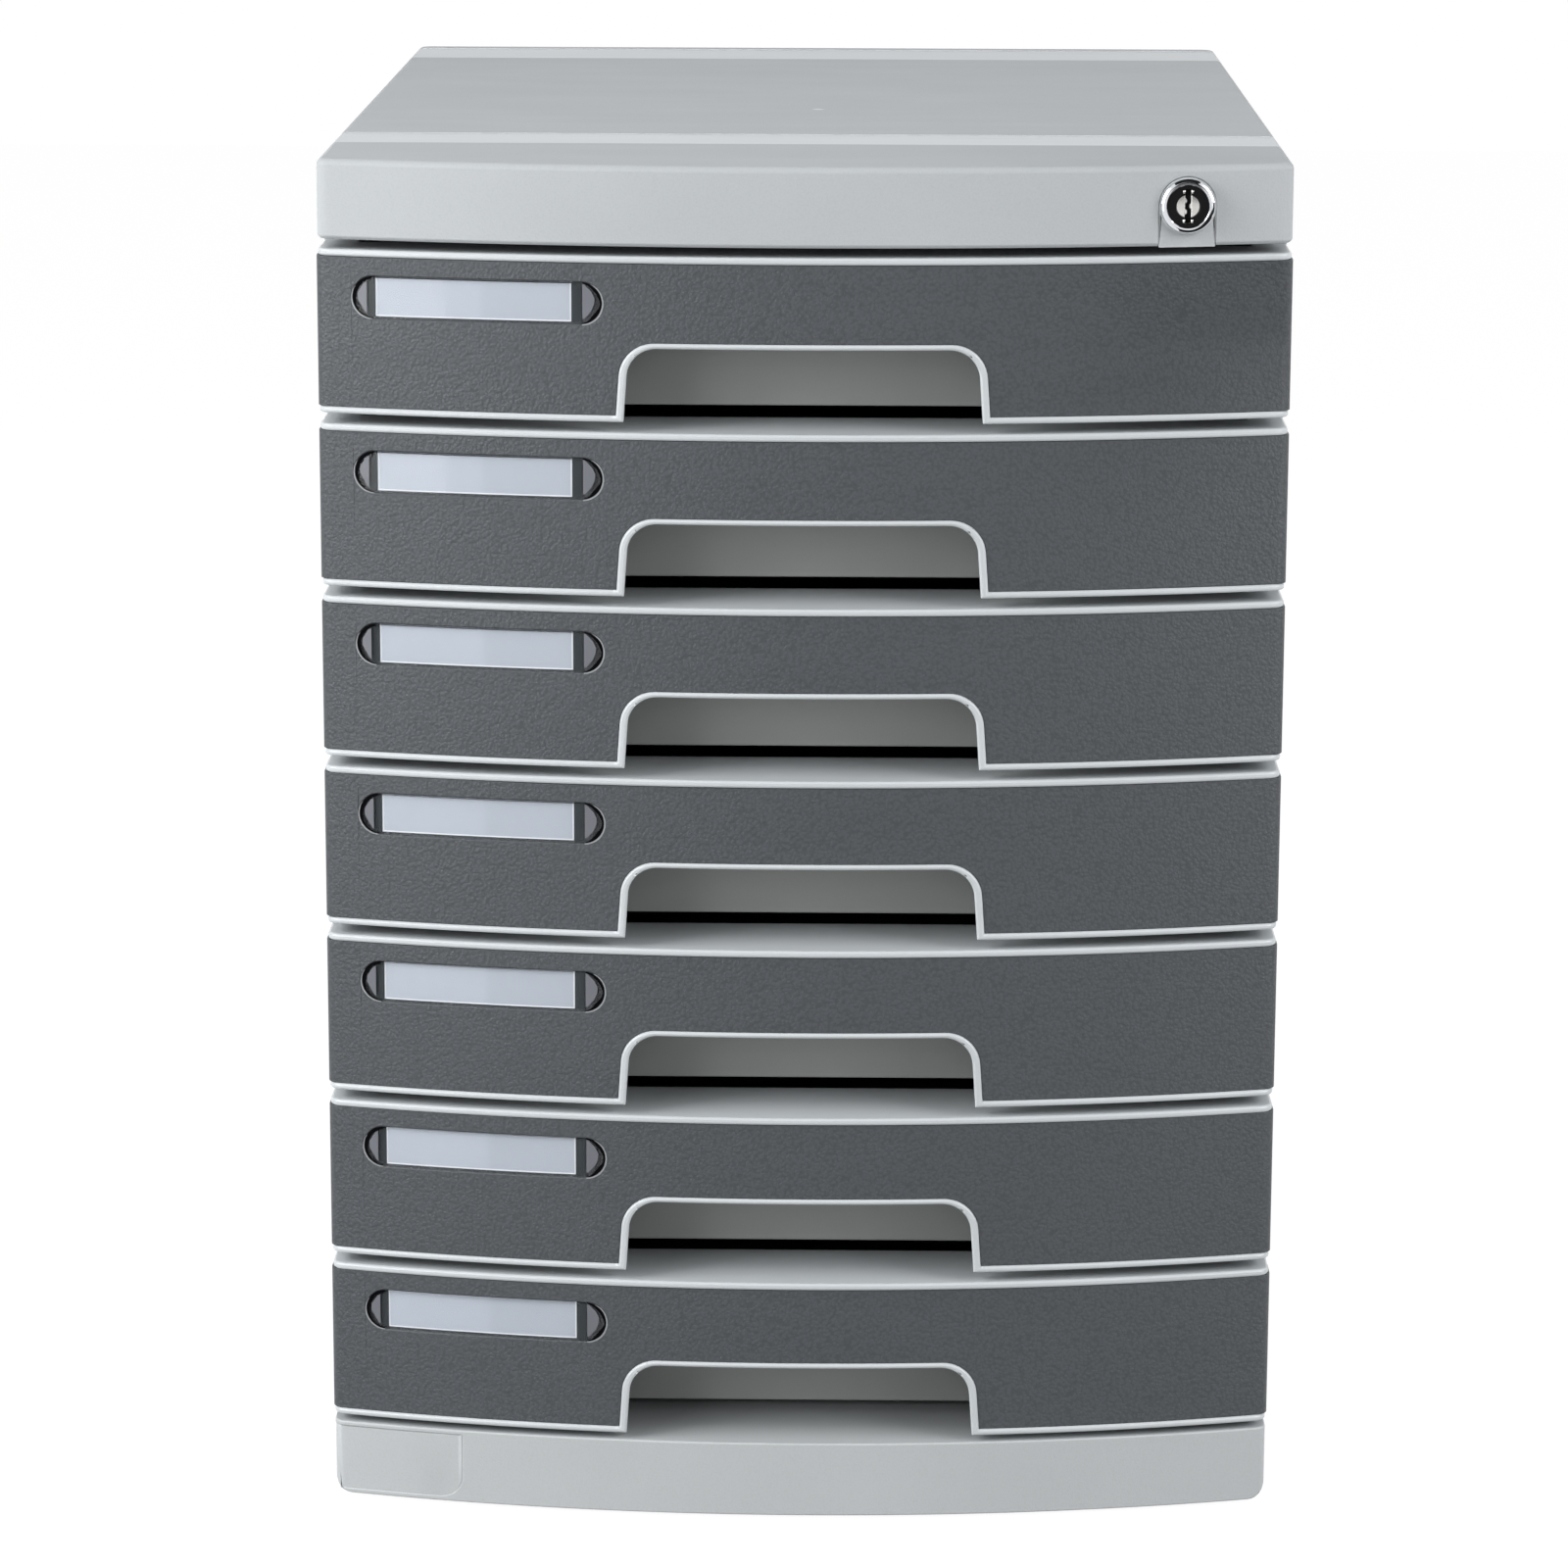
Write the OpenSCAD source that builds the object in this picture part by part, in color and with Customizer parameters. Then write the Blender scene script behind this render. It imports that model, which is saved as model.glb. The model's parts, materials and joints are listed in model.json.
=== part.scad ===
// Desktop file cabinet: seven shallow drawers between a plinth and a lockable cover.
// Millimetres. X is the width, -Y the bowed front and Z up. The origin lies on the
// surface the cabinet stands on, under the middle of its footprint.

/* [Cabinet] */
// Width of the cover and of the plinth
cabinet_w = 300; // [296:1:312]
// Depth from the tip of the bowed front to the back
cabinet_d = 420; // [410:1:440]
// How far the middle of the front stands ahead of its corners
bow_rise = 19.5; // [14:0.5:22]
// Radius of the upright front corners
corner_r = 4.5; // [4:0.5:6]
// Wall of the cover and of the plinth
shell_wall = 2.5; // [2:0.1:3]
// Wall of the side panels
panel_wall = 3; // [2.5:0.1:3.2]

/* [Heights] */
// Height of the rubber feet below the plinth
foot_h = 1.5; // [1:0.1:3]
// Height of the plinth
base_h = 24.2; // [22:0.2:30]
// Gap between the plinth and the lowest drawer front
base_gap = 2.2; // [2.2:0.1:4]
// Height of a drawer front
drawer_h = 51; // [50:0.5:60]
// Gap between two drawer fronts
drawer_gap = 3.3; // [3:0.1:5]
// Gap between the top drawer front and the cover
cover_gap = 2.9; // [2:0.1:4]
// Height of the cover
cover_h = 24.8; // [23.6:0.1:28]

/* [Drawers] */
// How far a drawer slides out before its stops meet
drawer_travel = 250; // [150:5:260]
// Wall of a tray
tray_wall = 2; // [1.6:0.1:2.2]
// Thickness of the dark insert in a drawer front
fascia_t = 2.2; // [2:0.1:2.4]
// How far the light rims stand proud of the dark insert
rim_proud = 0.6; // [0.3:0.1:1]
// Height of the upper rim of a drawer front
rim_top = 2.2; // [1.8:0.1:2.6]
// Height of the lower rim of a drawer front
rim_bottom = 2; // [1.6:0.1:2.4]
// Width of the finger cut-out at its foot, over its rim
cutout_w = 115; // [90:1:130]
// Height of the finger cut-out, over its rim
cutout_h = 24.4; // [20:0.2:26]
// Corner radius of the finger cut-out, over its rim
cutout_r = 11; // [8:0.5:12]
// Depth of the finger space, from the tip of the bow to the tray
finger_d = 34; // [26:0.2:35]

/* [Labels] */
// Length of the label window
window_w = 77.5; // [70:0.5:80]
// Height of the label window
window_h = 12.9; // [12.7:0.1:16]
// Middle of the label window, left of the middle of the cabinet
window_x = 100.25; // [98:0.25:101]
// Middle of the label window, above the bottom of its drawer front
window_z = 36.4; // [35:0.1:38]
// Length of the label card
card_w = 60.8; // [50:0.2:62]
// Height of the label card
card_h = 11.7; // [10:0.1:11.7]

/* [Lock] */
// Lock axis, right of the middle of the cabinet
lock_x = 117; // [112:0.5:120]
// Lock axis, above the lower edge of the cover
lock_rise = 12.4; // [10.9:0.1:13.2]
// Diameter of the lock's chromed ring
ring_d = 16.8; // [16.2:0.1:17]
// Diameter of the turning plug
plug_d = 12.9; // [12:0.1:13]
// Diameter of the bright keyway core in the face of the plug
core_d = 7.2; // [6:0.1:8]
// Distance of the crank pin from the lock axis
crank_r = 6; // [5:0.1:6]
// Width of the lock's insert in the cover
insert_w = 17.5; // [17.3:0.1:19]

/* [Hidden] */
drawer_count = 7;
DRAWER_PARTS = ["tray", "front", "fascia", "label_card", "label_window", "striker"];

light_grey = [0.70, 0.72, 0.73];
side_grey = [0.72, 0.74, 0.75];
dark_grey = [0.33, 0.35, 0.37];
card_white = [0.80, 0.83, 0.88];
clear_plastic = [0.75, 0.80, 0.84, 0.35];
black_plastic = [0.05, 0.05, 0.06];
chrome = [0.85, 0.86, 0.88];
steel = [0.62, 0.63, 0.65];
rubber = [0.10, 0.10, 0.11];

// Plan of the bow
half_w = cabinet_w / 2;
front_y = -cabinet_d / 2;
back_y = cabinet_d / 2;
bow_r = (half_w * half_w + bow_rise * bow_rise) / (2 * bow_rise);
bow_cy = front_y + bow_r;
corner_y = front_y + bow_rise;
bow_steps = 40;
corner_steps = 6;
back_r = 3;

// Levels
base_top = foot_h + base_h;
pitch = drawer_h + drawer_gap;
stack_z = base_top + base_gap;
cover_z = stack_z + (drawer_count - 1) * pitch + drawer_h + cover_gap;
cover_top = cover_z + cover_h;
deck_under = cover_top - shell_wall;
rest_fit = 0.05;

// Drawer front: widths, and depths behind the bow
rim_half_w = half_w - 0.1;
fascia_half_w = half_w + 0.4;
fascia_back = rim_proud + fascia_t;
pocket_floor_t = 0.45;
card_t = 0.35;
front_wall = 1.8;
front_back = fascia_back + front_wall;
wrap_y = corner_y + 12;
cheek_y = corner_y + 24.2;
wall_y = front_y + finger_d;
cutout_side = 2.4;
cutout_top = 1.65;
cutout_lean = 4;

// Label
card_shift = 1.1;
cap_t = 0.9;
cap_skirt = 0.4;
thumb_depth = 0.5;
thumb_rim = 1.4;

// Tray
tray_half_w = half_w - 11.5;
tray_z = 0.8;
tray_back_y = back_y - 12;
tray_h = 46;
floor_t = 2.2;
flange_t = 2;
flange_half_w = half_w - 6.1;
flange_y = corner_y + 50.5;
stop_z = 26;
stop_h = 4;
stop_w = 4;
striker_z = 11;
striker_h = 7;
striker_y = corner_y + 41.2;
striker_t = 6;
stop_front_y = tray_back_y - 12;

// Side panels
panel_y = corner_y + 25;
panel_in = half_w - panel_wall;
return_t = 2.5;
return_half_w = half_w - 5.8;
rail_half_w = half_w - 10.5;
rail_t = 2.2;
flange_play = 0.35;
lift_play = 0.5;
tooth_drop = 5.9;
tooth_rise = 7;
sheet_flange_t = 3;
slot_in_y = back_y - 5.2;
slot_out_y = back_y - 2.5;
slot_rib_w = 6;
slot_rib_t = 2.2;
screw_x = half_w - 7;
screw_front_y = front_y + 90;
screw_back_y = back_y - 60;
pilot_r = 1.5;

// Lock and lock bar
lock_z = cover_z + lock_rise;
insert_play = 0.05;
pad_y = front_y + 10.1;
ring_t = 1.6;
barrel_r = 7.5;
barrel_end_y = pad_y + 22;
plug_play = 0.05;
cam_t = 2;
pin_r = 1.5;
half_turn = 45;
bar_t = 1.5;
bar_play = 0.4;
arm_y = barrel_end_y + cam_t + 1 + bar_t;
arm_half_h = 3.9;
bar_x = half_w - 5.5;
bar_front_y = corner_y + 30.5;
bar_back_y = bar_front_y + 10;
bar_low_z = stack_z + 2.5;
pin_z = lock_z - crank_r * sin(half_turn);
catch_z = 3;
catch_h = 6;
catch_in = half_w - 8.8;

// Bottom of drawer front n, counted from the top
function drawer_z(n) = stack_z + (drawer_count - n) * pitch;

// Points on an arc about c, from angle a to angle b
function arc(c, r, a, b, steps) =
    [for (i = [0 : steps]) let (t = a + (b - a) * i / steps) c + r * [cos(t), sin(t)]];

// Plan outline with a bowed front, a half width w and a flat back at y.
// inset moves the bow back, and the corners shrink with it.
function bow_outline(w, y, inset = 0, r_back = 0) =
    let (
        r = max(corner_r - inset, 0.5),
        cx = w - r,
        cy = bow_cy - sqrt(pow(bow_r - inset - r, 2) - cx * cx),
        a = atan2(cy - bow_cy, cx),
        rb = max(r_back, 0.01)
    )
    concat(
        arc([w - rb, y - rb], rb, 0, 90, r_back > 0 ? corner_steps : 1),
        arc([rb - w, y - rb], rb, 90, 180, r_back > 0 ? corner_steps : 1),
        arc([-cx, cy], r, 180, 180 - a, corner_steps),
        arc([0, bow_cy], bow_r - inset, 180 - a + 0.1, 360 + a - 0.1, bow_steps),
        arc([cx, cy], r, a, 0, corner_steps)
    );

// A bowed plate from z0 to z1
module bow_plate(w, y, z0, z1, inset = 0, r_back = 0) {
    translate([0, 0, z0])
        linear_extrude(z1 - z0)
            polygon(bow_outline(w, y, inset, r_back));
}

// A bowed wall with its two end returns, from depth a to depth b behind the bow
module bow_wall(w, y, z0, z1, a, b) {
    difference() {
        bow_plate(w, y, z0, z1, a);
        bow_plate(w - (b - a), y + 1, z0 - 1, z1 + 1, b);
    }
}

// A front-view outline, drawn in X and Z, run from y0 to y1
module through_front(y0, y1) {
    translate([0, y1, 0])
        rotate([90, 0, 0])
            linear_extrude(y1 - y0)
                children();
}

// A box given by its lowest and highest corners
module block(a, b) {
    translate(a) cube(b - a);
}

// A round bar along Y
module rod_y(x, z, r, y0, y1) {
    translate([x, y1, z])
        rotate([90, 0, 0])
            cylinder(r = r, h = y1 - y0, $fn = 96);
}

// Front view of the finger cut-out: leaning sides and round upper corners
module cutout_shape(side_w, h, r, z_foot) {
    cx = side_w - (h - r + r * sin(cutout_lean)) * tan(cutout_lean) - r * cos(cutout_lean);
    foot_x = side_w - z_foot * tan(cutout_lean);
    polygon(concat(
        [[-foot_x, z_foot], [foot_x, z_foot]],
        arc([cx, h - r], r, cutout_lean, 90, 2 * corner_steps),
        arc([-cx, h - r], r, 90, 180 - cutout_lean, 2 * corner_steps)
    ));
}

module cutout_outer(grow = 0) {
    cutout_shape(cutout_w / 2 + grow, cutout_h + grow, cutout_r + grow, -3);
}

module cutout_inner() {
    cutout_shape(cutout_w / 2 - cutout_side, cutout_h - cutout_top, cutout_r - cutout_top, -3);
}

// Front view of the label window: a bar with round ends
module window_shape(grow = 0) {
    r = window_h / 2 + grow;
    reach = window_w / 2 - window_h / 2;
    translate([-window_x, window_z])
        union() {
            square([2 * reach, 2 * r], center = true);
            for (side = [-1, 1])
                translate([side * reach, 0]) circle(r = r, $fn = 64);
        }
}

// The four places of the screws that hold a cover or plinth to the side panels
module at_screws() {
    for (side = [-1, 1], y = [screw_front_y, screw_back_y])
        translate([side * screw_x, y, 0]) children();
}

// The four places of the feet
module at_feet() {
    for (side = [-1, 1], y = [corner_y + 18.5, back_y - 22])
        translate([side * (half_w - 22), y, 0]) children();
}

// ---- Cabinet ----

rib_h = 6;
rib_step = 40;
cover_edge_r = 2.2;
cover_foot_r = 1;
band_depth = 0.3;
front_band = [corner_y + 48, corner_y + 79];
rear_band = [corner_y + 351, corner_y + 391.5];

// Outer form of the cover, rounded along its upper edges
module cover_form() {
    hull() {
        bow_plate(half_w - cover_foot_r, back_y - cover_foot_r, cover_z, cover_z + 1,
            cover_foot_r, back_r);
        bow_plate(half_w, back_y, cover_z + cover_foot_r, cover_top - cover_edge_r, 0, back_r);
        for (a = [18 : 18 : 90])
            let (pull = cover_edge_r * (1 - cos(a)), up = cover_edge_r * (1 - sin(a)))
                bow_plate(half_w - pull, back_y - pull, cover_top - up - 0.1, cover_top - up,
                    pull, back_r);
    }
}

module cover_ribs() {
    rib_grid([1 - half_w, corner_y + 35, deck_under - rib_h],
        [half_w - 1, back_y - 1, deck_under + 0.5], rib_step, shell_wall * 0.6);
}

module top_cover() {
    color(light_grey)
        difference() {
            union() {
                difference() {
                    cover_form();
                    bow_plate(half_w - shell_wall, back_y - shell_wall, cover_z - 1, deck_under,
                        shell_wall, 1);
                    for (band = [front_band, rear_band])
                        block([-cabinet_w, band[0], cover_top - band_depth],
                            [cabinet_w, band[1], cover_top + 1]);
                }
                cover_ribs();
                at_screws() translate([0, 0, cover_z])
                    cylinder(r = 3.8, h = cover_h - shell_wall + 0.5, $fn = 48);
            }
            at_screws() translate([0, 0, cover_z - 1]) cylinder(r = pilot_r, h = 13, $fn = 48);
            through_front(front_y - 5, front_y + 18)
                insert_shape(insert_play);
        }
}

plinth_corner_r = 5.5;

// Front view of the plinth, with its two lower corners rounded
module plinth_shape() {
    r = plinth_corner_r;
    polygon(concat(
        [[half_w + 1, base_top], [-half_w - 1, base_top]],
        [[-half_w - 1, foot_h + r]],
        arc([r - half_w, foot_h + r], r, 180, 270, corner_steps),
        arc([half_w - r, foot_h + r], r, 270, 360, corner_steps),
        [[half_w + 1, foot_h + r]]
    ));
}

module base_bosses() {
    at_screws() translate([0, 0, 6]) cylinder(r = 4.4, h = base_top - 7, $fn = 48);
    at_feet() translate([0, 0, foot_h + 0.5]) cylinder(r = 10.5, h = base_h - 1.5, $fn = 48);
}

// Grid of ribs under a deck, inside a box given by its lowest and highest corners
module rib_grid(a, b, step, t) {
    reach_x = floor(min(-a.x, b.x) / step);
    reach_y = floor(min(-a.y, b.y) / step);
    for (i = [-reach_x : reach_x])
        block([i * step - t / 2, a.y, a.z], [i * step + t / 2, b.y, b.z]);
    for (i = [-reach_y : reach_y])
        block([a.x, i * step - t / 2, a.z], [b.x, i * step + t / 2, b.z]);
}

module base_ribs() {
    deck = base_top - shell_wall;
    rib_grid([1 - half_w, corner_y, deck - rib_h], [half_w - 1, back_y - 1, deck + 0.5],
        rib_step, shell_wall * 0.6);
}

patch_w = 41.7;
patch_r = 7;

// Shallow smooth field at the left of the plinth's front
module plinth_patch() {
    through_front(front_y - 2, corner_y + 6)
        polygon(concat(
            [[-half_w - 2, base_top - 1.7], [-half_w - 2, foot_h + 1.8]],
            arc([patch_w - half_w - patch_r, foot_h + 1.8 + patch_r], patch_r, 270, 360,
                corner_steps),
            [[patch_w - half_w, base_top - 1.7]]
        ));
}

module base() {
    color(light_grey)
        difference() {
            union() {
                difference() {
                    intersection() {
                        bow_plate(half_w, back_y, foot_h, base_top, 0, back_r);
                        through_front(front_y - 1, back_y + 1) plinth_shape();
                    }
                    bow_plate(half_w - shell_wall, back_y - shell_wall, foot_h - 1,
                        base_top - shell_wall, shell_wall, 1);
                    intersection() {
                        bow_wall(half_w + 1, back_y, foot_h, base_top, -1, 0.15);
                        plinth_patch();
                    }
                }
                base_ribs();
                base_bosses();
            }
            at_screws() {
                cylinder(r = 1.8, h = base_top + 1, $fn = 48);
                cylinder(r = 3.6, h = base_top - 8, $fn = 48);
            }
            at_feet() {
                cylinder(r = 9.2, h = foot_h + 3, $fn = 64);
                cylinder(r = 3.05, h = foot_h + 9, $fn = 48);
            }
        }
}

// Ribs that carry and hold down the flange of drawer n
module rails(n) {
    z = drawer_z(n) + tray_h;
    block([rail_half_w, flange_y, z - flange_t - flange_play - rail_t],
        [panel_in + 0.5, back_y - 7, z - flange_t - flange_play]);
    block([rail_half_w, flange_y, z + lift_play],
        [panel_in + 0.5, back_y - 7, z + lift_play + flange_t]);
}

// Block that meets the tray's stop when drawer n is fully out
module panel_stop(n) {
    y = stop_front_y - drawer_travel - 0.4;
    block([rail_half_w + 1, y - 6, drawer_z(n) + stop_z],
        [panel_in + 0.5, y, drawer_z(n) + stop_z + stop_h]);
}

// Front edge of the panel, turned in, with a tooth behind each gap between drawers
module panel_return() {
    block([return_half_w, panel_y, base_top], [half_w - 0.5, panel_y + return_t, cover_z]);
    for (n = [1 : drawer_count])
        block([rail_half_w, panel_y, max(drawer_z(n) - tooth_drop, base_top)],
            [return_half_w + 0.5, panel_y + return_t, drawer_z(n) + tooth_rise]);
    block([rail_half_w, panel_y, drawer_z(0) - tooth_drop],
        [return_half_w + 0.5, panel_y + return_t, cover_z]);
}

// Turned-in flanges that the cover and the plinth are screwed to, and the cover's locating rib
module panel_flanges() {
    for (z = [base_top, cover_z - sheet_flange_t])
        block([rail_half_w, flange_y, z], [panel_in + 0.5, slot_in_y - 0.5, z + sheet_flange_t]);
    for (y = [screw_front_y, screw_back_y])
        translate([screw_x, y, base_top]) cylinder(r = 3.4, h = 12, $fn = 48);
    block([panel_in - 1.8, screw_front_y + 12, cover_z - 1],
        [panel_in + 0.3, screw_back_y - 12, cover_z + 6]);
}

module panel_screw_holes() {
    for (y = [screw_front_y, screw_back_y]) {
        translate([screw_x, y, base_top - 1]) cylinder(r = pilot_r, h = 11, $fn = 48);
        translate([screw_x, y, cover_z - sheet_flange_t - 1]) cylinder(r = 1.8, h = 6, $fn = 48);
        translate([screw_x, y, cover_z - sheet_flange_t - 0.01])
            cylinder(r1 = 3.4, r2 = 1.8, h = 1.8, $fn = 48);
    }
}

// The right side panel; the left one is its mirror image
module side_panel() {
    difference() {
        union() {
            block([panel_in, panel_y, base_top], [half_w, back_y, cover_z]);
            panel_return();
            panel_flanges();
            for (y = [[slot_in_y - slot_rib_t, slot_in_y], [slot_out_y, back_y]])
                block([panel_in - slot_rib_w, y[0], base_top], [panel_in + 0.5, y[1], cover_z]);
            for (n = [1 : drawer_count]) {
                rails(n);
                panel_stop(n);
            }
        }
        panel_screw_holes();
    }
}

// Bridge over the lock bar that keeps it against the panel
module bar_guide(n) {
    z = drawer_z(n) + 23;
    h = 9;
    difference() {
        block([bar_x - bar_play - 1.7, bar_front_y - bar_play - 1.4, z],
            [panel_in + 0.5, bar_back_y + bar_play + 2, z + h]);
        block([bar_x - bar_play, bar_front_y - bar_play, z - 1],
            [panel_in, bar_back_y + bar_play, z + h + 1]);
    }
}

module right_side_panel() {
    color(side_grey)
        union() {
            side_panel();
            for (n = [1, 4, 7]) bar_guide(n);
        }
}

module left_side_panel() {
    color(side_grey)
        mirror([1, 0, 0]) side_panel();
}

module back_panel() {
    reach = panel_in - 0.3;
    sheet_y = slot_out_y - 0.1;
    rib_y = slot_out_y + 1.2;
    rib_w = 8;
    low = base_top + 18;
    high = cover_z - 18;
    side = reach - 20;
    color(side_grey)
        union() {
            block([-reach, slot_in_y + 0.1, base_top], [reach, sheet_y, cover_z + 6]);
            for (x = [-side, -side / 3, side / 3, side])
                block([x - rib_w / 2, sheet_y - 0.5, low], [x + rib_w / 2, rib_y, high]);
            for (z = [low, (low + high - rib_w) / 2, high - rib_w])
                block([-side, sheet_y - 0.5, z], [side, rib_y, z + rib_w]);
        }
}

module rubber_feet() {
    color(rubber)
        at_feet() {
            cylinder(r1 = 8.4, r2 = 9, h = 1, $fn = 64);
            translate([0, 0, 1]) cylinder(r = 9, h = foot_h + 1.9, $fn = 64);
            translate([0, 0, foot_h + 2]) cylinder(r = 3, h = 6.5, $fn = 48);
        }
}

// Shank of a screw with a cross recess in its head, head down
module screw_up(head_r, head_h, length, sunk) {
    difference() {
        union() {
            cylinder(r1 = head_r, r2 = sunk ? 1.45 : head_r, h = head_h, $fn = 48);
            cylinder(r = 1.45, h = length, $fn = 48);
        }
        for (turn = [0, 90])
            rotate([0, 0, turn]) block([-1.9, -0.35, -1], [1.9, 0.35, 1]);
    }
}

module cover_screws() {
    color(steel)
        at_screws() translate([0, 0, cover_z - sheet_flange_t + 0.05])
            screw_up(3.3, 1.75, 13, true);
}

module base_screws() {
    color(steel)
        at_screws() translate([0, 0, base_top - 10.05])
            screw_up(3.3, 2, 18, false);
}

// ---- Lock ----

// Front view of the lock's insert: straight sides under a round top
module insert_shape(grow = 0) {
    r = insert_w / 2 + grow;
    translate([lock_x, lock_z]) circle(r = r, $fn = 72);
    translate([lock_x - r, cover_z - 2]) square([2 * r, lock_rise + 2]);
}

module lock_housing() {
    low = cover_z - 0.3;
    color(light_grey)
        difference() {
            union() {
                intersection() {
                    bow_wall(half_w, back_y, low, deck_under - 0.05, 0, shell_wall + 2);
                    through_front(front_y, corner_y + 10) insert_shape(-insert_play);
                }
                intersection() {
                    bow_wall(half_w - shell_wall - 0.1, back_y, cover_z, deck_under - 0.05,
                        shell_wall + 0.1, shell_wall + 2);
                    block([lock_x - 12.5, front_y, cover_z],
                        [lock_x + 12.5, corner_y + 10, deck_under - 0.1]);
                }
                rod_y(lock_x, lock_z, insert_w / 2 - insert_play - 0.01, pad_y, pad_y + 13);
            }
            rod_y(lock_x, lock_z, barrel_r + 0.05, front_y - 1, pad_y + 20);
            rod_y(lock_x, lock_z, ring_d / 2 + 0.1, front_y - 5, pad_y);
        }
}

module lock_barrel() {
    color(chrome)
        difference() {
            union() {
                translate([lock_x, pad_y, lock_z]) rotate([90, 0, 0]) {
                    cylinder(r = ring_d / 2, h = 0.6, $fn = 96);
                    translate([0, 0, 0.6])
                        cylinder(r1 = ring_d / 2, r2 = plug_d / 2 + 0.6, h = ring_t - 0.6, $fn = 96);
                }
                rod_y(lock_x, lock_z, barrel_r, pad_y - 0.01, barrel_end_y);
            }
            rod_y(lock_x, lock_z, plug_d / 2 + plug_play, front_y, barrel_end_y + 1);
            difference() {
                rod_y(lock_x, lock_z, barrel_r + 1, pad_y + 13.05, pad_y + 14.3);
                rod_y(lock_x, lock_z, barrel_r - 0.6, pad_y + 13, pad_y + 15);
            }
        }
}

// Spring clip that sits in the barrel's groove behind the insert
module lock_clip() {
    color(steel)
        difference() {
            rod_y(lock_x, lock_z, insert_w / 2 - 0.1, pad_y + 13.1, pad_y + 14.2);
            rod_y(lock_x, lock_z, barrel_r - 0.55, pad_y + 13, pad_y + 15);
            block([lock_x - 5.4, pad_y + 13, lock_z - 12], [lock_x + 5.4, pad_y + 15, lock_z]);
        }
}

keyway_w = 1.8;
keyway_h = 10.5;
face_y = pad_y - ring_t + 0.5;

// Turning core of the lock, with the keyway in its nose
module lock_rotor() {
    color(steel)
        difference() {
            union() {
                rod_y(lock_x, lock_z, plug_d / 2, face_y + 1.6, barrel_end_y);
                rod_y(lock_x, lock_z, core_d / 2, face_y + 0.5, face_y + 2);
            }
            block([lock_x - keyway_w / 2, face_y - 1, lock_z - keyway_h / 2],
                [lock_x + keyway_w / 2, face_y + 19, lock_z + keyway_h / 2]);
            rod_y(lock_x, lock_z, 1.6, barrel_end_y - 5, barrel_end_y + 1);
        }
}

// Black ring round the keyway; it turns with the core
module keyway_ring() {
    color(black_plastic)
        difference() {
            rod_y(lock_x, lock_z, plug_d / 2, face_y, face_y + 1.55);
            rod_y(lock_x, lock_z, core_d / 2 + 0.05, face_y - 1, face_y + 2);
            block([lock_x - keyway_w / 2, face_y - 1, lock_z - keyway_h / 2],
                [lock_x + keyway_w / 2, face_y + 3, lock_z + keyway_h / 2]);
        }
}

// Crank on the back of the core; at rest its pin hangs to the lower right
module lock_cam() {
    pin_x = lock_x + crank_r * cos(half_turn);
    color(steel)
        difference() {
            union() {
                rod_y(lock_x, lock_z, 5, barrel_end_y + 0.02, barrel_end_y + cam_t);
                rod_y(pin_x, pin_z, 2.8, barrel_end_y + 0.02, barrel_end_y + cam_t);
                translate([lock_x, 0, lock_z]) rotate([0, half_turn, 0])
                    block([0, barrel_end_y + 0.02, -2.8], [crank_r, barrel_end_y + cam_t, 2.8]);
                rod_y(pin_x, pin_z, pin_r, barrel_end_y + cam_t - 0.5, arm_y + 0.7);
            }
            rod_y(lock_x, lock_z, 1.6, barrel_end_y - 1, barrel_end_y + cam_t + 1);
        }
}

module cam_screw() {
    color(steel)
        difference() {
            union() {
                rod_y(lock_x, lock_z, 1.55, barrel_end_y - 4.5, barrel_end_y + cam_t + 0.1);
                rod_y(lock_x, lock_z, 2.9, barrel_end_y + cam_t + 0.02, barrel_end_y + cam_t + 0.7);
            }
            for (turn = [0, 90])
                translate([lock_x, 0, lock_z]) rotate([0, turn, 0])
                    block([-1.9, barrel_end_y + cam_t + 0.3, -0.35], [1.9, barrel_end_y + cam_t + 1, 0.35]);
        }
}

// Sheet-steel bar: an arm behind the lock and a strip down the right side
module lock_bar() {
    low = pin_z - arm_half_h;
    high = pin_z + arm_half_h;
    web = 2.2;
    slot_half_h = pin_r + bar_play;
    slot_in = lock_x + crank_r * cos(half_turn) - slot_half_h;
    slot_out = lock_x + crank_r + slot_half_h;
    color(steel)
        difference() {
            union() {
                block([slot_in - web, arm_y - bar_t, low], [bar_x + bar_t, arm_y, high]);
                block([bar_x, arm_y - bar_t, low], [bar_x + bar_t, bar_back_y, high]);
                block([bar_x, bar_front_y, bar_low_z], [bar_x + bar_t, bar_back_y, high]);
            }
            block([slot_in, arm_y - bar_t - 1, pin_z - slot_half_h],
                [slot_out, arm_y + 1, pin_z + slot_half_h]);
        }
}

// Seven angle pieces welded to the bar, one in front of each drawer's striker
module lock_catches() {
    color(steel)
        for (n = [1 : drawer_count]) {
            z = drawer_z(n) + catch_z;
            block([catch_in, bar_back_y - bar_t, z], [bar_x - 0.02, bar_back_y, z + catch_h]);
            block([bar_x - 1.2, bar_front_y + 2, z], [bar_x - 0.02, bar_back_y, z + catch_h]);
        }
}

// ---- Drawers ----

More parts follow.
